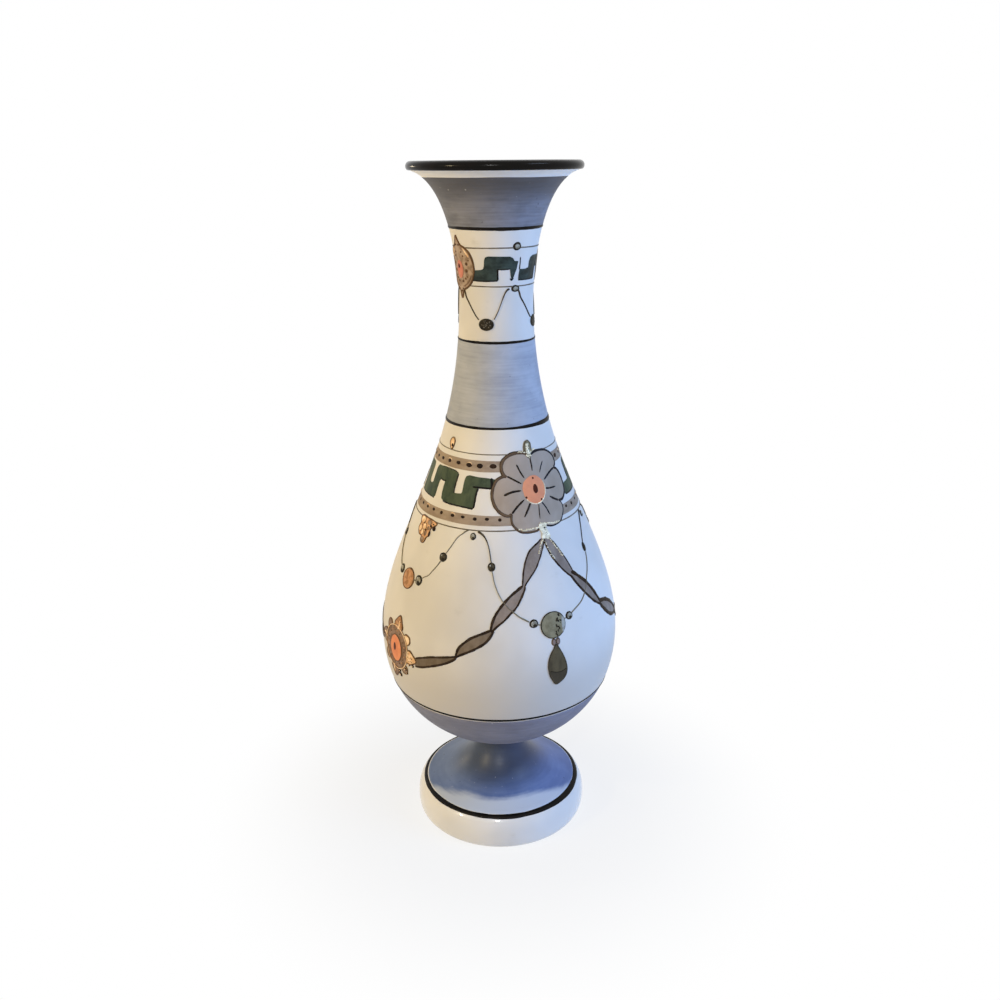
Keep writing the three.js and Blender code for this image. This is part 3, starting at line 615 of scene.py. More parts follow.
class Tone(Enum):
    """Every finish that a piece of the vase can take."""

    # its low colour is painted shade at the bottom of the belly
    OPAL = Opal(dusk=srgb(199, 192, 182))
    POLISHED = Opal("polished_opal_glass", srgb(228, 224, 218), srgb(212, 208, 202), satin=0.3, polish=1.0)
    LIP = Enamel("lip_gloss", srgb(9, 7, 4), srgb(18, 12, 7), 0.12, 90.0, depth=0.00001, shine=0.1)
    # its darker top is a painted shadow of the flared lip
    MOUTH_WASH = Wash(
        "mouth_wash", srgb(86, 86, 92), srgb(130, 130, 138), srgb(50, 48, 48),
        smoky=(0.282, 0.292), smoke=srgb(72, 68, 66),
    )
    NECK_WASH = Wash("neck_wash", srgb(146, 149, 158), srgb(176, 178, 184), srgb(92, 90, 90))
    BELLY_WASH = Wash("belly_wash", srgb(104, 104, 118), srgb(132, 132, 146), srgb(80, 78, 82))
    # its darker middle near the stem is painted shade and reflection of the belly
    FOOT_WASH = Wash(
        "foot_wash", srgb(84, 104, 148), srgb(108, 127, 168), srgb(50, 58, 78), 0.34,
        stem=srgb(46, 56, 76), fade=(0.0355, 0.0398), bare=srgb(190, 198, 210),
    )
    INK = Enamel("black_line", srgb(11, 9, 7), srgb(26, 21, 17), 0.35, 240.0, shine=0.08)
    PIN = Enamel("thin_black_line", srgb(88, 80, 64), srgb(120, 110, 92), 0.5, 300.0)
    BAND = Enamel("brown_band", srgb(141, 122, 104), srgb(165, 147, 127), 0.6, 150.0, (1, 1, 2.5))
    DOT = Enamel("dark_dot", srgb(22, 13, 7), srgb(50, 32, 18), 0.4, 500.0, shine=0.08)
    KEY = Enamel("green_key", srgb(44, 57, 45), srgb(82, 92, 70), 0.5, 150.0, (1, 1, 0.3), shine=0.12)
    NECK_KEY = Enamel("dark_green_key", srgb(20, 30, 28), srgb(54, 67, 62), 0.45, 170.0, (1, 1, 2.0))
    PETAL = Enamel("petal_mauve", srgb(157, 140, 122), srgb(174, 157, 140), 0.6, 70.0, (1, 1, 0.6), depth=0.00008)
    UMBER = Enamel("umber_line", srgb(74, 57, 42), srgb(100, 80, 60), 0.5, 300.0)
    LINE = Enamel("dark_outline", srgb(24, 17, 11), srgb(46, 35, 24), 0.42, 400.0, shine=0.1)
    NIGHT = Enamel("blue_black_outline", srgb(18, 17, 20), srgb(38, 37, 41), 0.42, 400.0, shine=0.1)
    CORAL = Enamel("coral", srgb(234, 150, 106), srgb(218, 136, 98), 0.5, 170.0, mottle=0.8)
    RUST = Enamel("rust_coral", srgb(226, 146, 104), srgb(206, 124, 86), 0.5, 240.0)
    ROSE = Enamel("rose_coral", srgb(200, 128, 108), srgb(182, 106, 88), 0.5, 300.0)
    SEED = Enamel("seed_brown", srgb(52, 20, 10), srgb(76, 34, 20), 0.4, 500.0, shine=0.1)
    CREAM = Gilt("cream_gold", srgb(248, 241, 214), srgb(208, 196, 162), 0.15, 0.4, 500.0)
    RIBBON = Enamel("ribbon_mauve", srgb(122, 107, 95), srgb(148, 134, 122), 0.55, 220.0, (1, 1, 0.5))
    RIBBON_SHADE = Enamel("ribbon_brown", srgb(98, 84, 66), srgb(128, 112, 94), 0.55, 220.0, (1, 1, 0.5))
    RIBBON_LINE = Enamel("ribbon_outline", srgb(32, 22, 15), srgb(66, 51, 37), 0.45, 260.0, shine=0.07)
    CHAIN = Enamel("chain_line", srgb(112, 104, 86), srgb(136, 128, 106), 0.5, 300.0, shine=0.1)
    CORD = Enamel("thick_chain_line", srgb(50, 40, 27), srgb(80, 68, 50), 0.5, 300.0, shine=0.08)
    BEAD = Enamel("bead_grey", srgb(172, 167, 150), srgb(92, 84, 66), 0.45, 900.0)
    DARK_BEAD = Enamel("bead_black", srgb(38, 32, 22), srgb(84, 76, 58), 0.4, 900.0, shine=0.12)
    RING = Enamel("bead_ring", srgb(28, 23, 15), srgb(52, 45, 31), 0.4, 500.0, shine=0.1)
    OLIVE = Enamel("medallion_olive", srgb(142, 133, 104), srgb(112, 103, 78), 0.4, 300.0)
    DROP = Enamel("drop_olive", srgb(88, 78, 56), srgb(64, 55, 38), 0.4, 300.0, (1, 1, 0.4))
    DROP_SHADE = Enamel("drop_shade", srgb(62, 54, 40), srgb(44, 38, 28), 0.4, 300.0)
    LINK = Enamel("link_brown", srgb(144, 124, 112), srgb(112, 94, 84), 0.5, 500.0)
    SHINE = Enamel("pale_streak", srgb(178, 176, 166), srgb(132, 128, 114), 0.4, 700.0)
    GOLD = Gilt("gilding", srgb(222, 172, 120), srgb(178, 128, 82), 0.25)
    PALE_GOLD = Gilt("pale_gilding", srgb(246, 216, 172), srgb(216, 170, 120), 0.2)
    DISC_GOLD = Gilt("disc_gilding", srgb(190, 136, 84), srgb(146, 100, 58), 0.25, 0.45, 620.0)
    BRONZE = Gilt("brown_gilding", srgb(136, 106, 76), srgb(102, 76, 52), 0.2, 0.5, 420.0)
    BEIGE = Gilt("beige_gilding", srgb(166, 140, 112), srgb(126, 101, 77), 0.2, 0.45, 420.0)
    RIM = Enamel("gilding_outline", srgb(76, 50, 24), srgb(112, 80, 46), 0.45, 400.0)

    @cached_property
    def material(self) -> bpy.types.Material:
        """The finish's material, made the first time that it is asked for."""
        return self.value.make()


# ---------------------------------------------------------------- meshes on the glass


class Relief:
    """Gathers the raised paint of one piece and turns it into one object."""

    def __init__(
        self, node: str, middle: Pair = (0.0, 0.0), skin: Skin = VESSEL_SKIN, ending: str = "_paint"
    ) -> None:
        """Starts a piece.

        Args:
            node: The CAD node that it stands for.
            middle: The angle in degrees and the height that its flat points start from.
            skin: The outline that it lies on.
            ending: What its own name adds to the node's.
        """
        self.node = node
        self.name = node + ending
        self.middle = middle
        self.skin = skin
        self.dice = random.Random(self.name)
        self.points: list[np.ndarray] = []
        self.faces: list[Sequence[int]] = []
        self.tones: list[Tone] = []
        self.count = 0

    def sway(self, turns: np.ndarray, size: float, slowest: int = 2) -> np.ndarray:
        """Makes the smooth unevenness of a hand-held brush, the same on every run.

        Args:
            turns: Places along the line, as a share of one turn, 0 to 1.
            size: The largest departure, about.
            slowest: The fewest waves in one turn.

        Returns:
            The departure at each place.
        """
        made = np.zeros(len(turns))
        for wave in range(WAVES):
            count = slowest * (wave + 1) + self.dice.randint(0, 2)
            made += np.sin(math.tau * (count * turns + self.dice.random())) / (wave + 2)
        return made * size / WAVE_HEIGHT

    def on(self, points: Path) -> np.ndarray:
        """Turns flat pairs, right and up from the piece's middle, into spots."""
        return self.skin.patch(points, *self.middle)

    def _take(self, points: np.ndarray, faces: Sequence[Sequence[int]], tones: Tone | Sequence[Tone]) -> None:
        """Adds points and faces.

        Args:
            points: Points in metres.
            faces: Corner numbers of each face, among those points.
            tones: One finish for all faces, or one for each.
        """
        self.points.append(points)
        self.faces.extend([tuple(int(i) + self.count for i in f) for f in faces])
        self.tones.extend([tones] * len(faces) if isinstance(tones, Tone) else tones)
        self.count += len(points)

    def weave(self, rows: Sequence[np.ndarray], tones: Tone | Sequence[Tone], loop: bool = False) -> None:
        """Joins lines of points, side by side, with quads.

        Args:
            rows: The lines, each an array of points in metres.
            tones: One finish, or one for each strip between two lines.
            loop: Whether each line closes on itself.
        """
        grid = np.stack(rows, 1)
        count, columns = grid.shape[:2]
        faces, used = [], []
        for r in range(count if loop else count - 1):
            s = (r + 1) % count
            for c in range(columns - 1):
                faces.append((r * columns + c, s * columns + c, s * columns + c + 1, r * columns + c + 1))
                used.append(tones if isinstance(tones, Tone) else tones[c])
        self._take(grid.reshape(-1, 3), faces, used)

    def stroke(
        self,
        line: np.ndarray,
        half: float | np.ndarray,
        top: float,
        tone: Tone,
        edge: Tone | None = None,
        base: float = DIP,
        ends: Pair = (1.0, 1.0),
        loop: bool = False,
        sway: float = 0.12,
    ) -> None:
        """Lays one brush line, rounded across.

        Args:
            line: The line's spots.
            half: Half its width, one for all or one for each spot.
            top: How far its middle stands off the glass.
            tone: Its finish.
            edge: A second finish along both its sides.
            base: How far its sides stand off the glass.
            ends: Length of the taper at its start and end.
            loop: Whether it closes on itself.
            sway: Unevenness of its width, as a share.
        """
        radius = self.skin.radius(line[:, 1])
        flat = np.c_[line[:, 0] * radius, line[:, 1]]
        around = (np.roll(line, -1, 0) - np.roll(line, 1, 0)) / 2
        runs = around if loop else np.gradient(line, axis=0)
        runs = np.c_[runs[:, 0] * radius, runs[:, 1]]
        size = np.maximum(np.hypot(*runs.T), 1e-9)
        aside = np.c_[runs[:, 1], -runs[:, 0]] / size[:, None]
        walked = np.r_[0, np.cumsum(np.hypot(*np.diff(flat, axis=0).T))]
        total = max(walked[-1], 1e-6)
        width = np.asarray(half) * (1 + self.sway(walked / total, sway, 3))
        if not loop:
            for far, taper in ((walked, ends[0]), (total - walked, ends[1])):
                share = np.clip(far / max(taper, 1e-6), 0, 1)
                width = width * np.sqrt(np.maximum(1 - (1 - share) ** 2, TIP))
        grid = []
        for across, rise in zip(SECTION, SECTION_RISE):
            shift = aside * (width * across)[:, None]
            spot = np.c_[line[:, 0] + shift[:, 0] / radius, line[:, 1] + shift[:, 1]]
            grid.append(self.skin.place(spot, base + (top - base) * rise))
        self.weave(grid, tone if edge is None else (edge, tone, tone, edge), loop)

    def fill(
        self, outline: np.ndarray, top: float, tone: Tone, base: float = DIP, spacing: float = 2.2, dome: float = 0.0
    ) -> None:
        """Fills an outline with a flat coat that follows the glass.

        Args:
            outline: The outline's spots, in order.
            top: How far the coat stands off the glass.
            tone: Its finish.
            base: How far its edge reaches down.
            spacing: Spacing of the points inside.
            dome: Extra height in the middle.
        """
        middle = self.skin.radius(outline[:, 1].mean())
        plane = np.c_[outline[:, 0] * middle, outline[:, 1]]
        following = np.roll(plane, -1, 0)
        if np.sum(plane[:, 0] * following[:, 1] - following[:, 0] * plane[:, 1]) < 0:
            outline, plane = outline[::-1], plane[::-1]
            following = np.roll(plane, -1, 0)
        low, high = plane.min(0), plane.max(0)
        aside, upward, clear = 0.37, 0.41, 0.35  # shares of the spacing that keep the points off the edge
        xs = np.arange(low[0] + spacing * aside, high[0], spacing)
        ys = np.arange(low[1] + spacing * upward, high[1], spacing)
        inner = np.array([(x + (j % 2) * spacing / 2, y) for j, y in enumerate(ys) for x in xs]).reshape(-1, 2)
        inner = inner[enclosed(inner, plane) & (nearness(inner, plane) > spacing * clear)]
        every = np.vstack([plane, inner])
        edges = [(i, (i + 1) % len(plane)) for i in range(len(plane))]
        made = delaunay_2d_cdt([Vector(p) for p in every], edges, [], 0, 1e-5, False)
        flat = np.array([tuple(p) for p in made[0]])
        corners = np.array([face[:3] for face in made[2]])
        corners = corners[enclosed(flat[corners].mean(1), plane)]
        one, two = flat[corners[:, 1]] - flat[corners[:, 0]], flat[corners[:, 2]] - flat[corners[:, 0]]
        turned = one[:, 0] * two[:, 1] - one[:, 1] * two[:, 0] < 0
        corners[turned] = corners[turned][:, ::-1]
        rise = top + dome * np.clip(nearness(flat, plane) / DOME_REACH, 0, 1) ** 0.5
        self._take(self.skin.place(np.c_[flat[:, 0] / middle, flat[:, 1]], rise), corners.tolist(), tone)
        self.weave([self.skin.place(outline, base), self.skin.place(outline, top)], tone, True)

    def bead(
        self,
        spot: np.ndarray,
        half: Pair,
        top: float,
        middle: Tone,
        ring: Tone | None = None,
        share: float = 0.55,
        base: float = DIP,
    ) -> None:
        """Sets one small domed dot.

        Args:
            spot: Its middle.
            half: Half its width and half its height.
            top: How far its middle stands off the glass.
            middle: The finish of its middle.
            ring: The finish round that.
            share: How far out the middle reaches.
            base: How far its edge reaches down.
        """
        radius = float(self.skin.radius(spot[1]))
        levels = (1.0, 0.86, share, share * 0.5)
        turns = np.arange(BEAD_STEPS) / BEAD_STEPS * math.tau
        uneven = 1 + self.sway(turns / math.tau, 0.06)
        rings = []
        for level in levels:
            x, y = np.cos(turns) * half[0] * level * uneven, np.sin(turns) * half[1] * level * uneven
            lift = base + (top - base) * math.sqrt(max(0.0, 1 - level**3))
            rings.append(self.skin.place(np.c_[spot[0] + x / radius, spot[1] + y], lift))
        self.weave(rings, (ring or middle, ring or middle, middle), True)
        centre = self.skin.place(np.array([[spot[0], spot[1]]]), top)
        fan = [(i, (i + 1) % BEAD_STEPS, BEAD_STEPS) for i in range(BEAD_STEPS)]
        self._take(np.vstack([rings[-1], centre]), fan, middle)

    def dot(self, at: Pair, half: Pair, top: float, tone: Tone, base: float = DIP) -> None:
        """Sets a bead of one finish at a flat place."""
        self.bead(self.on([at])[0], half, top, tone, base=base)

    def hoop(self, height: float, half: float, top: float, tone: Tone, press: Path) -> None:
        """Lays one line right round the vase.

        Args:
            height: The height of its middle.
            half: Half its width.
            top: How far its middle stands off the glass.
            tone: Its finish.
            press: Angles in degrees and how much wider the line is there.
        """
        turns = np.arange(STEPS) / STEPS
        middle = float(self.skin.climb(height)) + self.sway(turns, 0.1, 1)
        places, shares = zip(*press)
        pressed = np.interp(turns * 360, places, shares, period=360)
        width = half * pressed * (1 + self.sway(turns, 0.12, 6))
        rows = []
        for across, rise in zip(SECTION, SECTION_RISE):
            spots = np.c_[turns * math.tau, middle + width * across]
            rows.append(self.skin.place(spots, DIP + (top - DIP) * rise))
        self.weave(rows, tone, True)

    def coat(self, low: float, high: float, top: float, tone: Tone, sway: float = 0.15, step: float = 2.0) -> None:
        """Lays a broad coat right round the vase.

        Args:
            low: The height of its lower edge.
            high: The height of its upper edge.
            top: How far it stands off the glass.
            tone: Its finish.
            sway: How far its edges wander.
            step: Spacing of its rows.
        """
        turns = np.arange(STEPS) / STEPS
        low, high = float(self.skin.climb(low)), float(self.skin.climb(high))
        lower, upper = low + self.sway(turns, sway), high + self.sway(turns, sway)
        count = max(3, math.ceil((high - low) / step))
        rows = []
        for share in (0.0, 0.004, *np.linspace(0, 1, count)[1:-1], 0.996, 1.0):
            spots = np.c_[turns * math.tau, lower + (upper - lower) * share]
            rows.append(self.skin.place(spots, DIP if share in (0.0, 1.0) else top))
        self.weave(rows, tone, True)

    def lathe(self, profile: np.ndarray, tone: Tone, sectors: int = 256) -> None:
        """Turns a profile round the axis.

        Args:
            profile: Radius and height pairs, with the outside to the right of the way it runs.
            tone: Its finish.
            sectors: Steps in one turn.
        """
        angle = np.arange(sectors) / sectors * math.tau
        ring = np.c_[np.sin(angle), -np.cos(angle)]
        self.weave([np.c_[r * ring, np.full(sectors, z)] * MM for r, z in profile], tone, True)

    def finish(self, slot: str) -> None:
        """Turns what was gathered into one object that stands for the CAD node.

        Args:
            slot: The record's material slot; not used.
        """
        mesh = bpy.data.meshes.new(self.name)
        mesh.from_pydata(np.vstack(self.points).tolist(), [], self.faces)
        used = sorted(set(self.tones), key=lambda tone: tone.name)
        for tone in used:
            mesh.materials.append(tone.material)
        mesh.polygons.foreach_set("material_index", [used.index(t) for t in self.tones])
        mesh.polygons.foreach_set("use_smooth", [True] * len(self.faces))
        mesh.update()
        mesh.set_sharp_from_angle(angle=CREASE)
        made = bpy.data.objects.new(self.name, mesh)
        bpy.context.scene.collection.objects.link(made)
        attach(made, "root")
        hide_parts(self.node)
        LOG.info("%s: %d faces for %s", self.name, len(self.faces), self.node)


# ---------------------------------------------------------------- the vase's parts


class Part:
    """A sub-assembly that adds its pieces to the scene."""

    def build(self) -> None:
        """Builds the part's pieces."""
        raise NotImplementedError


class Side(Enum):
    """Sides of the vase that carry the same painting: a word and how far each is turned."""

    @property
    def label(self) -> str:
        """The word that ends the names of its nodes."""
        return self.value[0]

    @property
    def turn(self) -> float:
        """Degrees from the first of its kind."""
        return self.value[1]


class Face(Side):
    """The side that faces the viewer and the one behind it."""

    FRONT = ("front", 0.0)
    BACK = ("back", HALF_TURN)


class Flank(Side):
    """The flanks to the left and the right of those."""

    LEFT = ("left", 0.0)
    RIGHT = ("right", HALF_TURN)


class Quarter(Side):
    """The four sides of the neck."""

    LEFT = ("left", 0.0)
    RIGHT = ("right", 90.0)
    BACK_RIGHT = ("back_right", HALF_TURN)
    BACK_LEFT = ("back_left", 270.0)


@dataclass
class Ornament(Part):
    """A sub-assembly whose pieces are drawn flat, from one middle on the glass."""

    angle: float
    height: float

    def _piece(self, name: str, side: Side) -> Relief:
        """Starts the piece of one side."""
        return Relief(f"{name}_{side.label}", (self.angle + side.turn, self.height))


@dataclass
class Glass(Part):
    """The blown vessel and its pressed foot, joined at the stem."""

    wall: float = 3.0
    floor: float = 46.5
    roll: float = 1.5
    roll_centre: Pair = (33.7, 298.0)
    recess: Path = ((0.0, 2.4), (27.0, 2.4), (27.6, 2.35), (30.0, 0.05), (30.3, 0.0), (38.0, 0.0))
    lip_arc: Pair = (-60.0, 120.0)
    floor_rounding: float = 0.4

    def build(self) -> None:
        """Builds both glass pieces."""
        inner = (VESSEL_SKIN.line - VESSEL_SKIN.facing * self.wall)[::-1]
        inner = inner[inner[:, 1] > self.floor]
        arc = np.radians(np.linspace(*self.lip_arc, 13))
        lip = np.c_[self.roll_centre[0] + self.roll * np.cos(arc), self.roll_centre[1] + self.roll * np.sin(arc)]
        bottom = np.array([(inner[-1][0] - self.floor_rounding, self.floor), (0.0, self.floor)])
        profile = np.vstack([[(0.0, STEM[1])], VESSEL_SKIN.line, lip, inner, bottom])
        vessel = Relief("vessel", ending="_glass")
        vessel.lathe(profile, Tone.OPAL)
        vessel.finish("opal_glass")
        foot = Relief("foot", skin=FOOT_SKIN, ending="_glass")
        foot.lathe(np.vstack([self.recess, FOOT_SKIN.line, [(0.0, STEM[1])]]), Tone.POLISHED)
        foot.finish("opal_glass")


@dataclass
class Lip(Part):
    """The glossy enamel that wraps the rolled lip."""

    centre: Pair = (33.7, 298.0)
    inner: float = 1.45
    outer: float = 2.0
    arc: Pair = (-66.0, 126.0)
    steps: int = 25
    run_out: float = 3.0

    def build(self) -> None:
        """Builds the lip's enamel."""
        turns = np.radians(np.linspace(*self.arc, self.steps))
        from_end = np.minimum(np.arange(self.steps), self.steps - 1 - np.arange(self.steps))
        rise = np.clip(from_end / self.run_out, 0, 1)
        reach = self.inner + (self.outer - self.inner) * np.sqrt(rise)
        profile = np.c_[self.centre[0] + reach * np.cos(turns), self.centre[1] + reach * np.sin(turns)]
        lip = Relief("lip_enamel", ending="_coat")
        lip.lathe(profile, Tone.LIP)
        lip.finish("lip_gloss_enamel")


@dataclass(frozen=True)
class Coat:
    """One broad coat: its node, the heights of its edges, its finish and how it is laid."""

    node: str
    low: float
    high: float
    tone: Tone
    lift: float = 0.06
    sway: float = 0.15
    step: float = 2.0
    skin: Skin = VESSEL_SKIN


@dataclass
class Coats(Part):
    """The four blue-grey coats."""

    coats: tuple[Coat, ...] = (
        Coat("mouth_blue_coat", 275.2, 294.0, Tone.MOUTH_WASH),
        Coat("neck_blue_coat", 195.6, 229.4, Tone.NECK_WASH),
        Coat("belly_blue_coat", 40.5, 73.2, Tone.BELLY_WASH),
        Coat("foot_blue_coat", 15.6, STEM[1], Tone.FOOT_WASH, 0.04, 0.02, 1.0, FOOT_SKIN),
    )

    def build(self) -> None:
        """Builds the coats."""
        for coat in self.coats:
            piece = Relief(coat.node, skin=coat.skin)
            piece.coat(coat.low, coat.high, coat.lift, coat.tone, coat.sway, coat.step)
            piece.finish("blue_wash")


@dataclass(frozen=True)
class Ring:
    """One line round the vase: its node, height, half width, finish, lift and where it is pressed wider."""

    node: str
    height: float
    half: float
    tone: Tone
    lift: float
    press: Path
    skin: Skin = VESSEL_SKIN


@dataclass
class Lines(Part):
    """The black lines and thin lines that bound the coats and bands."""

    rings: tuple[Ring, ...] = (
        Ring(
            "mouth_black_line", 274.8, 0.78, Tone.INK, 0.24,
            ((-90, 0.8), (-30, 1.0), (20, 1.1), (90, 0.8), (180, 1.0)),
        ),
        Ring("neck_upper_pinline", 267.3, 0.3, Tone.PIN, 0.16, ((-60, 1.0), (30, 1.0), (150, 1.1))),
        Ring("neck_lower_pinline", 252.2, 0.27, Tone.PIN, 0.16, ((-60, 1.0), (30, 1.1), (150, 0.9))),
        Ring("neck_black_line", 229.7, 0.62, Tone.INK, 0.24, ((-90, 0.7), (0, 1.1), (60, 0.8), (180, 1.0))),
        Ring(
            "shoulder_black_line", 195.3, 0.62, Tone.INK, 0.24,
            ((-90, 1.3), (-45, 1.1), (5, 0.85), (45, 1.4), (75, 2.1), (180, 1.0)),
        ),
        Ring("shoulder_upper_pinline", 185.0, 0.25, Tone.PIN, 0.16, ((-60, 1.0), (30, 1.0), (150, 1.1))),
        Ring("shoulder_lower_pinline", 155.6, 0.3, Tone.PIN, 0.16, ((-60, 1.0), (30, 1.1), (150, 0.9))),
        Ring("belly_black_line", 74.2, 0.66, Tone.INK, 0.24, ((-90, 0.7), (0, 1.1), (90, 0.7), (180, 1.0))),
        Ring(
            "foot_black_line", 15.2, 1.3, Tone.INK, 0.24,
            ((-120, 0.7), (-60, 0.95), (0, 1.0), (60, 1.2), (120, 0.8), (180, 0.6)), FOOT_SKIN,
        ),
    )

    def build(self) -> None:
        """Builds the lines."""
        for ring in self.rings:
            piece = Relief(ring.node, skin=ring.skin)
            piece.hoop(ring.height, ring.half, ring.lift, ring.tone, ring.press)
            piece.finish("black_line")


@dataclass(frozen=True)
class Band:
    """One brown band: its edges' heights, and its row of dots by their angles in degrees."""

    node: str
    low: float
    high: float
    row: float
    dot_half: Pair
    dots: tuple[float, ...]
    gilt: tuple[float, ...]
    bold: tuple[float, ...] = ()


@dataclass
class BeadBands(Part):
    """The two brown bands on the shoulder with their rows of dark dots."""

    lift: float = 0.07
    dot_lift: float = 0.2
    boldness: float = 1.3
    glint_half: Pair = (1.35, 1.1)
    glint_arc: Pair = (0.2, 2.4)
    bands: tuple[Band, ...] = (
        Band(
            "upper_bead_band", 178.2, 182.6, 180.5, (1.25, 0.85),
            (-59.9, -48.9, -37.8, -26.2, -16.0, -4.0, 7.3, 18.6, 29.9, 41.2, 52.5, 66.6, 78.5, 89.5, 99.9, 110.0),
            gilt=(-48.9, -26.2, 78.5), bold=(-26.2, -16.0, -4.0, 66.6),
        ),
        Band(
            "lower_bead_band", 157.4, 161.4, 160.0, (1.0, 0.78),
            (
                -60.5, -52.2, -43.6, -33.4, -25.1, -16.2, -7.7, 1.2, 10.2, 19.2, 28.2, 37.2, 47.5, 57.5, 66.1, 75.5,
                84.5, 93.5, 102.5, 111.0,
            ),
            gilt=(-33.4, -60.5, 84.5),
        ),
    )

    def build(self) -> None:
        """Builds both bands."""
        for band in self.bands:
            piece = Relief(band.node)
            piece.coat(band.low, band.high, self.lift, Tone.BAND, 0.14, 1.5)
            for face in Face:
                for angle in band.dots:
                    bold = self.boldness if angle in band.bold else 1.0
                    wide = band.dot_half[0] * piece.dice.uniform(0.8, 1.1) * bold
                    tall = band.dot_half[1] * piece.dice.uniform(0.85, 1.1) * bold
                    rise = piece.dice.uniform(-0.15, 0.15)
                    spot = VESSEL_SKIN.spots([(angle, band.row + rise)], face.turn)[0]
                    piece.bead(spot, (wide, tall), self.dot_lift, Tone.DOT)
                    if angle in band.gilt:
                        self._glint(piece, spot)
            piece.finish("brown_band")

    def _glint(self, piece: Relief, spot: np.ndarray) -> None:
        """Draws the gilt arc over one dot.

        Args:
            piece: Gathers the band.
            spot: The dot's middle.
        """
        wide, tall = self.glint_half
        arc = np.array([(wide * math.cos(t), tall * math.sin(t)) for t in np.linspace(*self.glint_arc, 12)])
        ring = np.c_[spot[0] + arc[:, 0] / VESSEL_SKIN.radius(spot[1]), spot[1] + arc[:, 1]]
        piece.stroke(ring, 0.22, 0.3, Tone.PALE_GOLD)


@dataclass
class Keys(Part):
    """A painted key: broad filled outlines with dark shading along some of their edges."""

    tone: Tone
    outlines: tuple[Path, ...]
    shades: tuple
    corner: Pair = (0.35, 0.8)
    spacing: float = 2.2
    taper: float = 0.5
    sway: float = 0.2
    lift: float = 0.12
    shade_lift: float = 0.22

    def _paint(self, piece: Relief, turn: float) -> None:
        """Paints one side's run.

        Args:
            piece: Gathers the key.
            turn: Degrees that its side is turned.
        """
        for outline in self.outlines:
            corners = VESSEL_SKIN.spots(outline, turn)
            middle = float(VESSEL_SKIN.radius(corners[:, 1].mean()))
            flat = cornered(np.c_[corners[:, 0] * middle, corners[:, 1]], *self.corner)
            piece.fill(np.c_[flat[:, 0] / middle, flat[:, 1]], self.lift, self.tone, spacing=self.spacing)
        for line, half in self.shades:
            spots, ends = VESSEL_SKIN.spots(flowing(line), turn), (self.taper, self.taper)
            piece.stroke(spots, half, self.shade_lift, Tone.INK, ends=ends, sway=self.sway)


@dataclass
class ShoulderKeys(Keys):
    """The broad green key between the bead bands, one run on each flank."""

    tone: Tone = Tone.KEY
    outlines: tuple[Path, ...] = ((
        (-1.4, 175.4), (-8.1, 175.9), (-16.8, 176.1), (-24.2, 176.5), (-27.2, 176.0), (-28.3, 174.8), (-28.8, 172.3),
        (-29.0, 169.4), (-29.8, 168.9), (-35.5, 168.6), (-36.3, 169.7), (-36.2, 173.0), (-35.2, 176.0), (-36.0, 176.9),
        (-40.0, 177.2), (-46.3, 177.4), (-53.7, 177.6), (-62.2, 177.5), (-64.5, 176.0), (-64.8, 172.5), (-64.6, 169.8),
        (-66.8, 169.1), (-70.5, 169.2), (-71.6, 171.0), (-71.6, 175.5), (-72.2, 177.2), (-76.0, 177.5), (-98.0, 177.3),
        (-101.5, 176.6), (-102.2, 170.0), (-103.2, 168.9), (-118.0, 168.7), (-118.0, 164.5), (-97.0, 164.3),
        (-91.8, 164.4), (-90.5, 165.4), (-90.0, 171.6), (-88.6, 172.4), (-84.5, 172.3), (-83.6, 171.0), (-83.0, 166.0),
        (-81.6, 164.8), (-75.8, 164.6), (-62.7, 164.5), (-56.9, 164.4), (-55.5, 165.2), (-55.6, 168.3), (-55.2, 171.5),
        (-53.8, 172.4), (-48.9, 172.4), (-48.2, 171.7), (-48.6, 169.6), (-48.4, 167.2), (-47.6, 165.2), (-44.7, 164.5),
        (-40.9, 164.4), (-26.3, 164.2), (-19.4, 163.8), (-18.0, 164.2), (-17.5, 166.8), (-16.9, 170.3), (-16.3, 171.6),
        (-11.0, 171.8), (-1.4, 171.9),
    ),)
    shades: tuple = (
        (((-20.5, 172.1), (-14.3, 172.1), (-5.0, 171.9)), 0.5),
        (((-5.2, 176.0), (-4.9, 174.0), (-4.6, 171.6)), 0.75),
        (((-15.9, 171.9), (-17.1, 169.1), (-17.6, 166.0), (-18.3, 163.7)), 0.46),
        (((-18.3, 163.6), (-24.6, 163.9), (-33.2, 164.1), (-40.7, 164.2), (-45.5, 164.6)), 0.42),
        (((-36.5, 168.5), (-36.6, 170.3), (-36.1, 173.4), (-35.3, 176.4)), 0.4),
        (((-35.4, 176.5), (-38.8, 177.2), (-46.5, 177.6), (-56.1, 177.6)), 0.2),
        (((-54.4, 172.8), (-50.8, 172.2), (-47.1, 172.6)), 0.32),
        (((-56.3, 164.3), (-65.1, 164.3), (-76.0, 164.4), (-82.0, 164.6)), 0.26),
        (((-90.2, 171.4), (-91.0, 166.5), (-91.6, 164.2)), 0.45),
        (((-91.6, 164.1), (-100.0, 164.0), (-109.0, 164.1), (-117.5, 164.4)), 0.42),
        (((-102.2, 169.4), (-101.9, 173.0), (-101.2, 176.6)), 0.3),
    )

    def build(self) -> None:
        """Builds both runs."""
        for flank in Flank:
            piece = Relief(f"shoulder_key_{flank.label}")
            self._paint(piece, flank.turn)
            piece.finish("green_key")


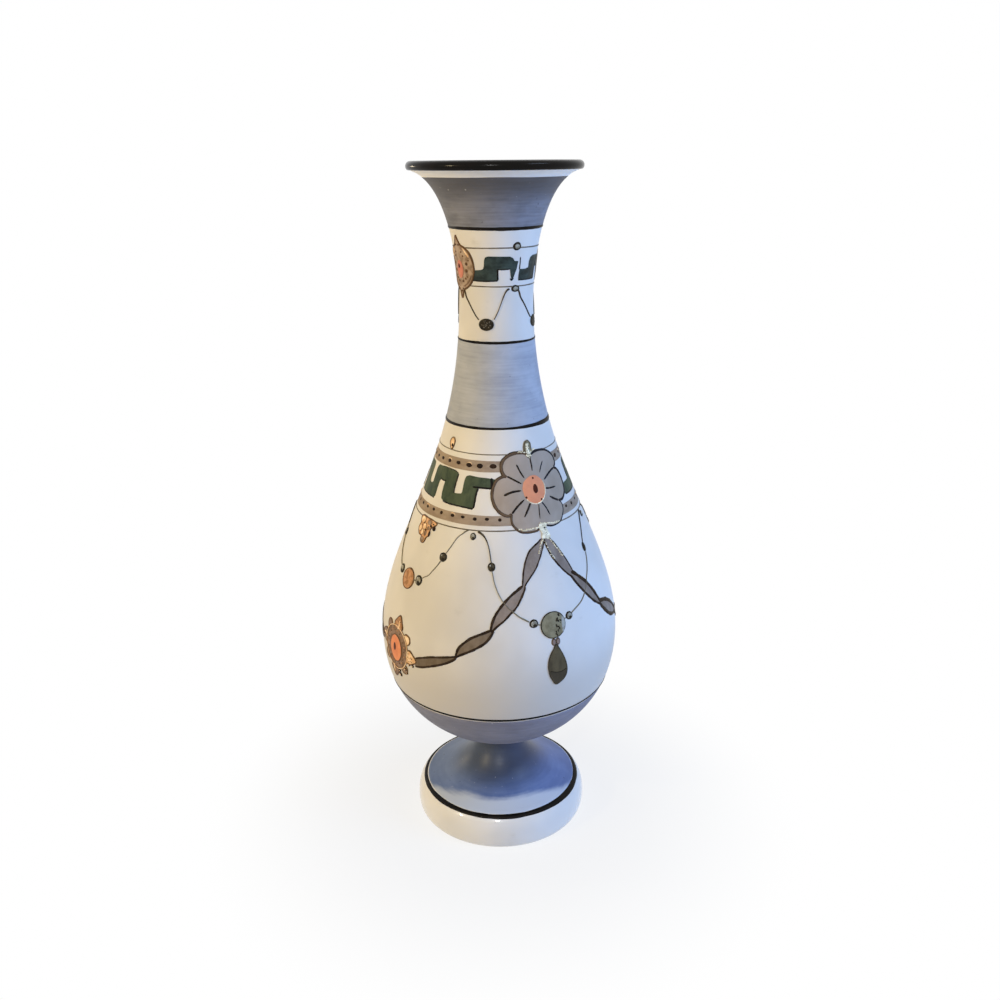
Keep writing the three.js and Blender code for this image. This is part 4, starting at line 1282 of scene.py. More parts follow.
@dataclass
class NeckKeys(Keys):
    """The small dark key round the neck, with its ringed beads, on each side."""

    tone: Tone = Tone.NECK_KEY
    corner: Pair = (0.3, 0.6)
    spacing: float = 1.4
    taper: float = 0.3
    sway: float = 0.15
    outlines: tuple[Path, ...] = (
        (
            (-35.6, 258.5), (-21.9, 258.8), (-18.0, 259.2), (-16.6, 260.4), (-16.0, 262.6), (-14.4, 263.8),
            (-10.2, 264.2), (5.8, 264.1), (19.6, 264.0), (24.1, 263.4), (26.6, 262.2), (32.6, 262.1), (30.5, 259.0),
            (26.2, 255.9), (23.2, 254.8), (21.4, 256.7), (20.3, 259.2), (10.1, 259.2), (2.4, 259.2), (2.4, 254.8),
            (-15.8, 254.6), (-35.6, 254.7),
        ),
        (
            (35.6, 258.9), (46.1, 258.8), (52.6, 259.2), (53.2, 261.6), (55.5, 263.2), (60.8, 263.9), (88.0, 264.0),
            (88.0, 259.4), (73.6, 259.2), (70.4, 257.7), (68.6, 254.7), (45.5, 254.7), (34.0, 254.7), (34.4, 256.9),
        ),
    )
    shades: tuple = (
        (((-35.4, 258.4), (-35.6, 254.6)), 0.42),
        (((-35.6, 254.5), (-16.0, 254.4), (2.6, 254.6)), 0.34),
        (((2.4, 259.3), (2.6, 254.6)), 0.42),
        (((2.4, 259.0), (11.0, 259.0), (20.0, 259.1)), 0.3),
        (((35.8, 263.7), (35.9, 261.2), (35.4, 258.6)), 0.3),
        (((34.0, 254.6), (50.0, 254.5), (68.6, 254.5)), 0.28),
        (((74.8, 263.6), (71.8, 259.6), (68.8, 254.6)), 0.32),
        (((20.8, 255.4), (23.4, 254.7), (26.0, 255.6)), 0.35),
    )
    beads: tuple = ((29.0, 267.9, 1.95, 1.75), (29.8, 251.3, 2.0, 1.45))

    def build(self) -> None:
        """Builds both runs."""
        for face in Face:
            piece = Relief(f"neck_key_{face.label}")
            self._paint(piece, face.turn)
            for angle, height, wide, tall in self.beads:
                spot = VESSEL_SKIN.spots([(angle, height)], face.turn)[0]
                piece.bead(spot, (wide, tall), 0.36, Tone.BEAD, Tone.RING)
            piece.finish("green_key")


@dataclass
class Flower(Ornament):
    """The six-petalled flower with its heart, finial and tie, on each side."""

    angle: float = 30.0
    height: float = 170.2
    lift: float = 0.26
    petals: tuple = (
        (
            (0.5, 14.3), (-1.8, 15.7), (-5.8, 16.0), (-8.0, 15.5), (-10.3, 14.2), (-11.9, 12.4), (-12.5, 10.3),
            (-12.4, 8.3), (-11.7, 6.9), (-10.9, 6.6),
        ),
        (
            (-10.9, 6.6), (-12.5, 6.6), (-15.3, 5.2), (-17.0, 2.9), (-18.1, 0.4), (-18.6, -2.0), (-18.3, -4.9),
            (-17.2, -7.4), (-15.2, -9.1), (-13.3, -9.6), (-11.9, -8.8),
        ),
        (
            (-11.9, -8.8), (-12.5, -10.9), (-12.4, -13.4), (-11.1, -15.4), (-9.7, -16.6), (-7.2, -17.1), (-4.5, -17.1),
            (-2.1, -16.8), (-0.9, -14.7),
        ),
        (
            (-0.9, -14.7), (1.7, -15.4), (4.7, -16.3), (7.5, -16.3), (10.2, -15.7), (12.2, -13.7), (13.5, -11.4),
            (13.6, -9.3), (12.6, -7.7), (11.8, -7.1),
        ),
        (
            (11.8, -7.1), (14.9, -7.1), (17.0, -5.5), (18.0, -3.6), (18.0, -1.0), (17.5, 1.7), (16.2, 4.3), (14.7, 5.9),
            (13.1, 6.5),
        ),
        ((13.1, 6.5), (14.7, 8.1), (14.5, 10.7), (12.4, 13.2), (9.2, 15.1), (6.1, 15.7), (3.2, 15.6), (0.5, 14.3)),
    )
    rims: tuple = (
        (0.95, Tone.UMBER, Tone.LINE),
        (0.85, Tone.UMBER, Tone.LINE),
        (0.6, Tone.UMBER, Tone.LINE),
        (0.38, Tone.NIGHT, None),
        (0.75, Tone.NIGHT, None),
        (0.66, Tone.NIGHT, None),
    )
    crease_widening: float = 1.3
    creases: tuple = (
        (((0.5, 14.3), (0.5, 12.4), (0.6, 10.0), (0.5, 7.8)), 0.3, Tone.LINE),
        (((13.1, 6.5), (11.4, 6.2), (9.0, 5.2), (5.6, 3.1)), 0.4, Tone.NIGHT),
        (((11.8, -7.1), (8.9, -5.5), (6.9, -4.1)), 0.42, Tone.NIGHT),
        (((0.6, -6.2), (0.2, -9.1), (-0.2, -12.4)), 0.22, Tone.LINE),
        (((-11.9, -8.8), (-8.7, -5.8), (-5.4, -3.4)), 0.38, Tone.LINE),
        (((-10.9, 6.8), (-8.6, 5.3), (-5.3, 3.1)), 0.34, Tone.LINE),
        (((-6.1, 11.4), (-5.0, 8.1), (-3.7, 5.3)), 0.3, Tone.LINE),
        (((6.6, 10.9), (5.1, 8.7), (4.0, 6.5)), 0.24, Tone.NIGHT),
        (((5.2, -0.4), (7.8, -0.9), (11.8, -1.1)), 0.34, Tone.NIGHT),
        (((2.3, -5.7), (4.0, -8.6), (5.2, -11.8)), 0.27, Tone.NIGHT),
        (((-3.0, -5.0), (-4.9, -7.9), (-7.0, -10.8)), 0.38, Tone.LINE),
        (((-13.8, -1.2), (-10.0, 0.1), (-6.0, 0.4)), 0.42, Tone.LINE),
    )
    heart_centre: Pair = (-0.1, 0.1)
    heart_half: Pair = (5.25, 5.9)
    heart_steps: int = 60
    heart_margin: float = 0.15
    heart_creams: int = 30
    heart_arc: Pair = (-140, 165)
    heart_dots: Path = ((0.1, 4.9), (-4.4, -2.7), (2.4, -4.5))
    seed: tuple = (0.4, 0.3, 1.25, 2.15)
    creams: tuple = (
        ((-10.6, -15.4), (-8.6, -15.9), (-5.5, -16.0), (-2.6, -15.9), (-1.0, -15.2)),
        ((-0.6, -14.2), (1.5, -14.7), (4.5, -15.2), (7.5, -15.5), (9.6, -15.5)),
        ((-4.6, 16.4), (-2.4, 16.2), (-0.6, 15.4), (0.2, 13.6)),
        ((0.6, 15.2), (1.8, 16.4), (3.4, 16.6)),
    )
    finial_flecks: int = 44
    tie_flecks: int = 18
    finial: Path = (
        (0.3, 13.4), (-1.0, 14.7), (-1.5, 16.4), (-1.4, 18.2), (-0.6, 20.0), (0.4, 20.6), (1.3, 19.6), (1.6, 17.8),
        (1.4, 15.6),
    )
    tie: Path = (
        (-1.2, -14.6), (-0.1, -14.3), (1.2, -14.5), (2.2, -15.3), (1.8, -16.5), (2.4, -18.2), (3.0, -20.6),
        (1.0, -20.9), (-1.0, -20.4), (-0.8, -18.2), (-1.5, -16.6),
    )

    def build(self) -> None:
        """Builds the flower's four pieces on each side."""
        for face in Face:
            self._petals(face)
            self._heart(face)
            self._finial(face)
            self._tie(face)

    def _petals(self, face: Face) -> None:
        """Builds the petals, their double outlines, creases and cream edging.

        Args:
            face: Which side.
        """
        piece = self._piece("flower_petals", face)
        arcs = [flowing(p) for p in self.petals]
        outline = np.vstack([a[:-1] for a in arcs])
        piece.fill(piece.on(outline), self.lift, Tone.PETAL)
        for arc, (half, tone, edge) in zip(arcs, self.rims):
            piece.stroke(piece.on(arc), half, 0.42, tone, edge, ends=(0.6, 0.6), sway=0.14)
        for line, half, tone in self.creases:
            spots, width = piece.on(flowing(line)), half * self.crease_widening
            piece.stroke(spots, width, 0.42, tone, base=0.2, ends=(0.7, 2.4), sway=0.2)
        for line in self.creams:
            for x, y in flowing(line, 0.34):
                at = (x + piece.dice.uniform(-0.25, 0.25), y + piece.dice.uniform(-0.3, 0.3))
                size = piece.dice.uniform(0.2, 0.36)
                piece.dot(at, (size, size), 0.5, Tone.CREAM, base=0.2)
        piece.finish("mauve_enamel")

    def _heart(self, face: Face) -> None:
        """Builds the coral heart with its seed, dots and gilt rim.

        Args:
            face: Which side.
        """
        piece = self._piece("flower_heart", face)
        edge = oval(*self.heart_half, self.heart_centre, self.heart_steps)
        edge *= (1 + piece.sway(np.arange(self.heart_steps) / self.heart_steps, 0.035, 3))[:, None]
        piece.fill(piece.on(edge), 0.34, Tone.CORAL, base=0.2, spacing=1.5, dome=0.06)
        wide, tall = (half + self.heart_margin for half in self.heart_half)
        start, length = self.heart_arc
        for k in range(self.heart_creams):
            t = math.radians(start + length * k / (self.heart_creams - 1))
            x, y = self.heart_centre[0] + wide * math.cos(t), self.heart_centre[1] + tall * math.sin(t)
            size = piece.dice.uniform(0.22, 0.34)
            piece.dot((x, y), (size, size), 0.5, Tone.CREAM, base=0.2)
        for dot in self.heart_dots:
            piece.dot(dot, (0.5, 0.48), 0.52, Tone.SEED, base=0.25)
        x, y, wide, tall = self.seed
        piece.dot((x, y), (wide, tall), 0.56, Tone.SEED, base=0.3)
        piece.finish("coral_enamel")

    def _finial(self, face: Face) -> None:
        """Builds the small gilt drop over the flower.

        Args:
            face: Which side.
        """
        piece = self._piece("flower_finial", face)
        rim = flowing(self.finial, 0.4, True)
        piece.stroke(piece.on(rim), 0.6, 0.38, Tone.DROP, Tone.CHAIN, loop=True, sway=0.3)
        piece.fill(piece.on(rim), 0.34, Tone.OLIVE, spacing=1.0, dome=0.12)
        for _ in range(self.finial_flecks):
            rise = piece.dice.uniform(0, 1)
            at = (piece.dice.uniform(-0.95, 1.0) * (1 - 0.6 * rise), 13.8 + 5.4 * rise)
            size = piece.dice.uniform(0.25, 0.46)
            piece.dot(at, (size, size), 0.54, Tone.CREAM, base=0.3)
        piece.finish("gilding")

    def _tie(self, face: Face) -> None:
        """Builds the gilt tie under the flower.

        Args:
            face: Which side.
        """
        piece = self._piece("flower_tie", face)
        rim = flowing(self.tie, 0.4, True)
        piece.fill(piece.on(rim), 0.5, Tone.CREAM, base=0.1, spacing=1.0, dome=0.08)
        for _ in range(self.tie_flecks):
            at = (piece.dice.uniform(-0.6, 2.0), piece.dice.uniform(-20.3, -15.2))
            size = piece.dice.uniform(0.14, 0.28)
            piece.dot(at, (size, size), 0.62, Tone.OLIVE, base=0.4)
        piece.dot((0.9, -16.4), (0.6, 0.42), 0.66, Tone.RING, base=0.4)
        piece.finish("gilding")


@dataclass
class Lens:
    """One twist of a garland between two knots: its two edges and their half widths."""

    upper: Path
    lower: Path
    upper_half: float
    lower_half: float
    tone: Tone = Tone.RIBBON


@dataclass
class Garlands(Part):
    """The twisted ribbons that hang from each flower to the rosettes."""

    lift: float = 0.2
    left: tuple[Lens, ...] = (
        Lens(
            (
                (27.6, 151.2), (25.3, 150.0), (21.6, 148.6), (18.7, 147.1), (16.5, 144.8), (14.7, 141.8), (13.5, 138.5),
                (12.9, 135.8), (12.5, 134.2),
            ),
            (
                (30.0, 151.6), (28.8, 149.4), (26.3, 146.1), (23.9, 143.3), (20.9, 140.1), (17.8, 137.7), (14.9, 135.3),
                (13.4, 133.8),
            ),
            0.34, 0.38,
        ),
        Lens(
            (
                (13.0, 134.6), (11.7, 133.8), (9.4, 132.6), (6.2, 130.8), (3.3, 128.6), (0.6, 126.1), (-1.6, 123.4),
                (-3.1, 120.4), (-3.7, 118.0), (-4.1, 116.9),
            ),
            (
                (13.8, 134.6), (13.6, 133.2), (12.1, 130.9), (10.3, 128.3), (8.2, 125.9), (5.3, 123.7), (2.4, 121.2),
                (-0.5, 119.3), (-2.8, 117.4), (-3.8, 116.4),
            ),
            0.6, 0.48,
        ),
        Lens(
            (
                (-2.8, 117.6), (-4.4, 117.1), (-6.5, 116.3), (-9.7, 115.1), (-13.4, 113.4), (-16.4, 111.2),
                (-18.5, 109.1), (-19.5, 106.8), (-20.1, 104.7),
            ),
            (
                (-2.4, 117.4), (-3.2, 116.0), (-4.6, 114.1), (-6.4, 112.2), (-9.2, 110.4), (-12.3, 108.7),
                (-16.0, 107.0), (-19.3, 105.3), (-20.6, 104.5),
            ),
            0.58, 0.6, Tone.RIBBON_SHADE,
        ),
        Lens(
            (
                (-19.0, 105.3), (-21.0, 104.8), (-23.2, 104.3), (-27.7, 103.3), (-33.1, 102.1), (-39.0, 100.1),
                (-42.0, 99.0),
            ),
            (
                (-19.4, 105.0), (-20.6, 103.8), (-22.6, 102.5), (-26.1, 100.7), (-29.8, 99.2), (-33.7, 97.7),
                (-38.0, 96.2), (-42.0, 95.3),
            ),
            0.46, 0.58, Tone.RIBBON_SHADE,
        ),
    )
    right: tuple[Lens, ...] = (
        Lens(
            ((30.6, 152.2), (33.1, 151.0), (36.3, 148.3), (39.4, 144.4), (41.9, 140.8), (43.7, 137.3), (44.7, 134.6)),
            (
                (29.6, 151.6), (29.9, 149.6), (30.7, 147.2), (32.4, 143.8), (35.0, 140.6), (38.0, 137.5), (41.2, 134.8),
                (43.4, 133.4),
            ),
            0.36, 0.4,
        ),
        Lens(
            ((42.8, 135.6), (44.5, 134.9), (48.1, 132.4), (52.4, 129.0), (55.9, 125.0), (58.7, 120.8), (60.8, 117.5)),
            (
                (42.0, 134.6), (42.9, 133.4), (45.3, 130.2), (48.2, 126.9), (51.3, 123.7), (55.1, 120.2), (58.6, 118.0),
                (61.2, 116.8),
            ),
            0.9, 0.56,
        ),
        Lens(
            ((59.4, 118.6), (62.4, 118.0), (66.5, 116.9), (71.4, 114.4), (76.2, 111.0), (78.8, 108.4), (79.8, 106.6)),
            ((59.8, 117.4), (61.8, 115.2), (64.2, 113.0), (67.4, 110.4), (72.4, 107.9), (77.0, 106.7), (80.2, 106.3)),
            0.95, 0.9,
        ),
        Lens(
            ((78.8, 107.6), (83.0, 107.2), (88.0, 106.0), (93.5, 104.0), (98.0, 101.6), (102.0, 99.4), (105.8, 98.4)),
            ((79.2, 107.0), (82.0, 104.2), (86.0, 101.4), (91.0, 98.8), (96.0, 97.0), (102.0, 96.0), (105.8, 96.8)),
            0.5, 0.66,
        ),
    )
    creams_left: tuple[Path, ...] = (((29.4, 151.6), (26.0, 148.0), (24.4, 145.8)),)
    creams_right: tuple[Path, ...] = (
        ((30.4, 151.6), (33.8, 149.8), (37.0, 146.8), (40.0, 142.8)),
        ((29.4, 150.4), (31.2, 146.4), (34.0, 142.4)),
    )
    edge_widening: float = 1.15

    def build(self) -> None:
        """Builds the four ribbons."""
        sides = (("left", self.left, self.creams_left), ("right", self.right, self.creams_right))
        for face in Face:
            for side, lenses, creams in sides:
                piece = Relief(f"garland_{face.label}_{side}")
                for lens in lenses:
                    self._lens(piece, lens, face.turn)
                for line in creams:
                    for spot in VESSEL_SKIN.spots(flowing(line, 0.36), face.turn):
                        spot = spot + (piece.dice.uniform(-0.008, 0.008), piece.dice.uniform(-0.3, 0.3))
                        size = piece.dice.uniform(0.16, 0.32)
                        piece.bead(spot, (size, size), 0.44, Tone.CREAM, base=0.1)
                piece.finish("mauve_enamel")

    def _lens(self, piece: Relief, lens: Lens, turn: float) -> None:
        """Fills one lens and draws its two edges.

        Args:
            piece: Gathers the ribbon.
            lens: The lens.
            turn: Degrees that its side is turned.
        """
        upper = VESSEL_SKIN.spots(flowing(lens.upper, 0.8), turn)
        lower = VESSEL_SKIN.spots(flowing(lens.lower, 0.8), turn)
        piece.fill(np.vstack([upper, lower[::-1]]), self.lift, lens.tone, spacing=1.8)
        for edge, half in ((upper, lens.upper_half), (lower, lens.lower_half)):
            width = half * self.edge_widening
            piece.stroke(edge, width, 0.36, Tone.RIBBON_LINE, ends=(1.5, 1.5), sway=0.25)


@dataclass
class Thread:
    """A chain's thin line: its way, and half its width at the start and at the end."""

    way: Path
    start_half: float
    end_half: float


@dataclass
class Chains(Part):
    """Thin painted lines with beads between them."""

    threads: tuple[Thread, ...]
    slimming: float = 0.82
    thread_lift: float = 0.42
    thick: float = 0.5

    def _lay(self, piece: Relief, turn: float) -> None:
        """Draws the thin lines, whose width changes over the first or the last half.

        Args:
            piece: Gathers the chain.
            turn: Degrees that its side is turned.
        """
        for thread in self.threads:
            spots = VESSEL_SKIN.spots(flowing(thread.way), turn)
            share = np.clip(np.linspace(0, 1, len(spots)) / 0.5, 0, 1)
            if thread.start_half < thread.end_half:
                share = 1 - np.clip(np.linspace(1, 0, len(spots)) / 0.5, 0, 1)
            half = (thread.start_half + (thread.end_half - thread.start_half) * share) * self.slimming
            tone = Tone.CORD if max(thread.start_half, thread.end_half) > self.thick else Tone.CHAIN
            piece.stroke(spots, half, self.thread_lift, tone, base=0.0, ends=(0.6, 0.6))

    def _set(self, piece: Relief, angle: float, height: float, half: Pair, dark: bool = False) -> None:
        """Sets one ringed bead with a dark lower side and a pale glint.

        Args:
            piece: Gathers the chain.
            angle: Its middle's angle in degrees.
            height: Its middle's height.
            half: Half its width and half its height.
            dark: Whether its middle is nearly black.
        """
        spot = VESSEL_SKIN.spots([(angle, height)])[0]
        piece.bead(spot, half, 0.5, Tone.DARK_BEAD if dark else Tone.BEAD, Tone.RING, 0.66)
        radius = float(VESSEL_SKIN.radius(spot[1]))
        low = spot + (half[0] * 0.12 / radius, -half[1] * 0.36)
        piece.bead(low, (half[0] * 0.42, half[1] * 0.34), 0.58, Tone.RING, base=0.4)
        high = spot + (-half[0] * 0.3 / radius, half[1] * 0.3)
        piece.bead(high, (half[0] * 0.2, half[1] * 0.2), 0.6, Tone.SHINE, base=0.4)


@dataclass
class DeepChains(Chains):
    """The long chains that pass under each flower and carry the pendants."""

    threads: tuple[Thread, ...] = (
        Thread(
            ((-13.4, 155.2), (-11.1, 154.6), (-8.7, 153.3), (-6.7, 151.1), (-5.3, 148.1), (-4.6, 145.4), (-4.0, 143.4)),
            0.7, 0.24,
        ),
        Thread(
            (
                (-3.8, 140.8), (-3.1, 138.9), (-2.6, 137.1), (-1.4, 134.1), (0.1, 131.4), (1.9, 129.0), (4.7, 126.1),
                (7.8, 123.9), (9.6, 122.5), (12.0, 121.3), (14.6, 119.9),
            ),
            0.22, 0.42,
        ),
        Thread(((17.8, 118.6), (20.6, 118.0)), 0.34, 0.34),
        Thread(
            (
                (37.4, 119.9), (40.2, 121.0), (43.3, 122.1), (46.1, 123.4), (48.5, 125.1), (51.1, 127.6), (53.5, 130.4),
                (56.2, 133.1), (59.0, 136.7), (60.7, 139.9),
            ),
            0.34, 0.22,
        ),
        Thread(((61.2, 144.0), (62.6, 145.8), (64.6, 148.0), (67.0, 150.4), (70.0, 153.0), (73.6, 155.4)), 0.22, 0.7),
        Thread(((31.0, 118.2), (33.8, 118.7)), 0.34, 0.34),
    )
    beads: tuple = ((-3.9, 142.0, 1.65, 1.95, True), (16.6, 119.1, 2.0, 1.9, False), (35.8, 119.2, 1.9, 1.85, False))
    small_beads: Path = ((-16.1, 153.2), (76.1, 153.2))
    small_half: Pair = (1.3, 1.6)
    lozenge: tuple = (60.9, 142.0, 1.25, 2.3)

    def build(self) -> None:
        """Builds the two deep chains."""
        for face in Face:
            piece = Relief(f"deep_chain_{face.label}")
            self._lay(piece, face.turn)
            for angle, height, wide, tall, dark in self.beads:
                self._set(piece, angle + face.turn, height, (wide, tall), dark)
            for angle, height in self.small_beads:
                self._set(piece, angle + face.turn, height, self.small_half)
            angle, height, wide, tall = self.lozenge
            spot = VESSEL_SKIN.spots([(angle, height)], face.turn)[0]
            piece.bead(spot, (wide, tall), 0.5, Tone.RING)
            piece.finish("bead_enamel")


@dataclass
class ShallowChains(Chains):
    """The short chains over the rosettes, each with a gilt medallion."""

    threads: tuple[Thread, ...] = (
        Thread(
            (
                (-19.2, 155.5), (-21.2, 154.9), (-23.5, 153.7), (-26.0, 152.4), (-27.9, 150.5), (-29.6, 148.4),
                (-31.4, 146.3), (-32.6, 144.8),
            ),
            0.42, 0.22,
        ),
        Thread(
            ((-34.9, 141.8), (-36.7, 139.5), (-39.0, 137.1), (-40.8, 135.2), (-43.3, 133.9), (-45.4, 132.8)),
            0.3, 0.22,
        ),
        Thread(((-49.4, 131.0), (-51.6, 130.8)), 0.36, 0.36),
        Thread(
            ((-66.0, 132.6), (-69.0, 134.2), (-72.6, 136.8), (-77.0, 140.4), (-80.0, 143.6), (-83.0, 147.5)),
            0.22, 0.3,
        ),
        Thread(((-83.2, 147.6), (-86.0, 150.4), (-90.0, 153.4), (-95.6, 155.5)), 0.24, 0.55),
    )
    beads: tuple = (
        (-33.8, 143.5, 2.0, 2.05, True),
        (-47.3, 131.6, 2.2, 2.35, False),
        (-65.2, 132.2, 2.0, 2.2, False),
        (-81.0, 144.6, 1.9, 2.0, True),
    )
    medallion: tuple = (-56.2, 130.3, 4.1, 4.4)

    def build(self) -> None:
        """Builds the two shallow chains and their medallions."""
        for flank in Flank:
            piece = Relief(f"shallow_chain_{flank.label}")
            self._lay(piece, flank.turn)
            for angle, height, wide, tall, dark in self.beads:
                self._set(piece, angle + flank.turn, height, (wide, tall), dark)
            piece.finish("bead_enamel")
            angle, height, wide, tall = self.medallion
            disc = Relief(f"gilt_medallion_{flank.label}", (angle + flank.turn, height))
            rim = disc.on(oval(wide, tall))
            disc.fill(rim, 0.3, Tone.DISC_GOLD, spacing=1.2, dome=0.15)
            disc.stroke(rim, 0.36, 0.46, Tone.RIM, loop=True, sway=0.5)
            disc.finish("gilding")


@dataclass
class Pendants(Ornament):
    """The olive medallion and drop that hang from each deep chain."""

    angle: float = 26.2
    height: float = 117.1
    disc_half: Pair = (5.6, 5.5)
    disc_centre: Pair = (0.1, 0.1)
    dashes: int = 34
    links: Path = ((-0.45, -7.2), (1.55, -7.2))
    link_half: Pair = (1.15, 1.7)
    drop: Path = (
        (0.5, -8.4), (-1.1, -10.6), (-2.7, -13.3), (-3.5, -16.8), (-3.2, -20.5), (-1.9, -23.7), (0.1, -26.5),
        (1.8, -26.0), (4.0, -24.4), (5.3, -21.7), (5.0, -18.0), (3.6, -13.9), (1.8, -10.4),
    )
    shaded: Path = (
        (-2.9, -19.9), (0.0, -20.9), (2.9, -21.0), (4.9, -20.4), (4.9, -22.3), (3.7, -24.2), (1.7, -25.8), (0.1, -26.1),
        (-1.6, -23.5),
    )
    facet: Path = ((-2.9, -19.6), (0.0, -20.7), (2.9, -20.8), (4.9, -20.0))
    shine: Path = ((4.4, 3.2), (5.5, 1.4), (5.4, -1.6), (4.2, -4.0), (4.0, 0.0))

    def build(self) -> None:
        """Builds the two pendants."""
        for face in Face:
            piece = self._piece("pendant", face)
            disc = piece.on(oval(*self.disc_half, self.disc_centre, 64))
            piece.fill(disc, 0.4, Tone.OLIVE, spacing=1.6, dome=0.05)
            piece.stroke(disc, 0.24, 0.54, Tone.RING, base=0.2, loop=True, sway=0.3)
            for _ in range(self.dashes):
                y = piece.dice.uniform(-4.8, 4.6)
                at = (2.0 + 0.16 * y + piece.dice.gauss(0, 0.65), y)
                size = piece.dice.uniform(0.16, 0.42)
                piece.dot(at, (size, size * 1.3), 0.58, Tone.RING, base=0.3)
            piece.fill(piece.on(flowing(self.shine, 0.4, True)), 0.52, Tone.SHINE, base=0.3, spacing=1.2)
            for link in piece.on(self.links):
                piece.bead(link, self.link_half, 0.42, Tone.LINK, Tone.UMBER, 0.6)
            rim = piece.on(flowing(self.drop, 0.5, True))
            piece.fill(rim, 0.4, Tone.DROP, spacing=1.6, dome=0.1)
            piece.stroke(rim, 0.3, 0.5, Tone.DROP_SHADE, base=0.2, loop=True, sway=0.3)
            piece.fill(piece.on(flowing(self.shaded, 0.5, True)), 0.53, Tone.DROP_SHADE, base=0.3, spacing=1.6)
            piece.stroke(piece.on(flowing(self.facet)), 0.24, 0.62, Tone.RING, base=0.4)
            piece.finish("olive_enamel")


@dataclass
class BellyRosettes(Ornament):
    """The gilt rosette low on each flank."""

    angle: float = -57.5
    height: float = 99.0
    plate_half: Pair = (9.3, 9.7)
    rim_half: Pair = (9.6, 10.0)
    pearls: int = 22
    pearl_half: Pair = (7.1, 7.7)
    pearl_shift: float = 0.3
    heart_half: Pair = (4.9, 6.2)
    heart_centre: Pair = (0.3, -0.4)
    leaf_flecks: int = 9
    leaf: Path = ((-2.6, 9.0), (-3.3, 10.8), (-2.2, 12.9), (0.0, 15.3), (2.2, 12.9), (3.3, 10.8), (2.6, 9.0))
    vein: Path = ((0.2, 9.0), (0.7, 11.0), (0.3, 13.2))
    curl: Path = ((-2.4, 9.8), (-2.0, 11.6), (0.0, 12.9), (2.0, 11.8), (2.4, 9.8))
    leaves: tuple = ((-8.0, Tone.DISC_GOLD), (-96.0, Tone.PALE_GOLD), (172.0, Tone.BRONZE), (82.0, Tone.BRONZE))
    curls: tuple = ((-53.0, Tone.PALE_GOLD), (-140.0, Tone.BEIGE), (128.0, Tone.BRONZE), (37.0, Tone.BRONZE))
    drops: tuple = (
        (10.6, -4.4, 0.8), (12.9, -4.4, 0.7), (7.6, -7.9, 1.0), (8.6, -9.6, 0.6), (2.7, -10.6, 0.8), (2.9, -12.6, 1.1),
    )

    def build(self) -> None:
        """Builds the gilding and the heart of both rosettes."""
        for flank in Flank:
            self._gilding(flank)
            self._heart(flank)

    def _turned(self, points: Path, degrees: float) -> np.ndarray:
        """Turns flat points by some degrees about the rosette's middle."""
        t = math.radians(degrees)
        p = np.asarray(points, float)
        return p @ np.array([[math.cos(t), math.sin(t)], [-math.sin(t), math.cos(t)]])

    def _gilding(self, flank: Flank) -> None:
        """Builds the brown ring, its gilt edge, the leaves and the curls.

        Args:
            flank: Which flank.
        """
        piece = self._piece("belly_rosette_gilding", flank)
        piece.fill(piece.on(oval(*self.plate_half)), 0.2, Tone.BRONZE, spacing=1.8)
        for turn, tone in self.leaves:
            spots = piece.on(self._turned(flowing(self.leaf, 0.4), turn))
            piece.fill(spots, 0.24, tone, spacing=1.3, dome=0.1)
            piece.stroke(spots, 0.42, 0.42, Tone.RIM, sway=0.25)
            for _ in range(self.leaf_flecks):
                at = (piece.dice.uniform(-1.8, 1.8), piece.dice.uniform(9.6, 13.0))
                piece.dot(self._turned([at], turn)[0], (0.3, 0.3), 0.46, Tone.BRONZE, base=0.2)
            vein = self._turned(flowing(self.vein), turn)
            piece.stroke(piece.on(vein), 0.55, 0.5, Tone.PALE_GOLD, base=0.2)
        for turn, tone in self.curls:
            spots = piece.on(self._turned(flowing(self.curl, 0.4), turn))
            piece.fill(spots, 0.22, tone, spacing=1.2)
            piece.stroke(spots, 0.4, 0.4, Tone.RIM, sway=0.25)
        for x, y, size in self.drops:
            piece.bead(piece.on([(x, y)])[0], (size, size), 0.5, Tone.PALE_GOLD, Tone.DOT, 0.4)
        rim = piece.on(oval(*self.rim_half, count=72))
        piece.stroke(rim, 0.36, 0.46, Tone.PALE_GOLD, Tone.RIM, base=0.1, loop=True, sway=0.4)
        for k in range(self.pearls):
            t = math.tau * k / self.pearls
            wide, tall = (half + self.pearl_shift * (k % 2) for half in self.pearl_half)
            at = (wide * math.cos(t), tall * math.sin(t))
            piece.dot(at, (0.42, 0.42), 0.4, Tone.DISC_GOLD if k % 2 else Tone.RIM, base=0.1)
        piece.finish("gilding")

    def _heart(self, flank: Flank) -> None:
        """Builds the coral heart with its dark slot.

        Args:
            flank: Which flank.
        """
        piece = self._piece("belly_rosette_heart", flank)
        edge = piece.on(oval(*self.heart_half, self.heart_centre, 56))
        piece.fill(edge, 0.34, Tone.RUST, base=0.1, spacing=1.4, dome=0.1)
        piece.stroke(edge, 0.36, 0.44, Tone.RIM, base=0.2, loop=True, sway=0.3)
        piece.dot((-0.2, 0.2), (1.1, 2.2), 0.56, Tone.SEED, base=0.3)
        piece.finish("coral_enamel")


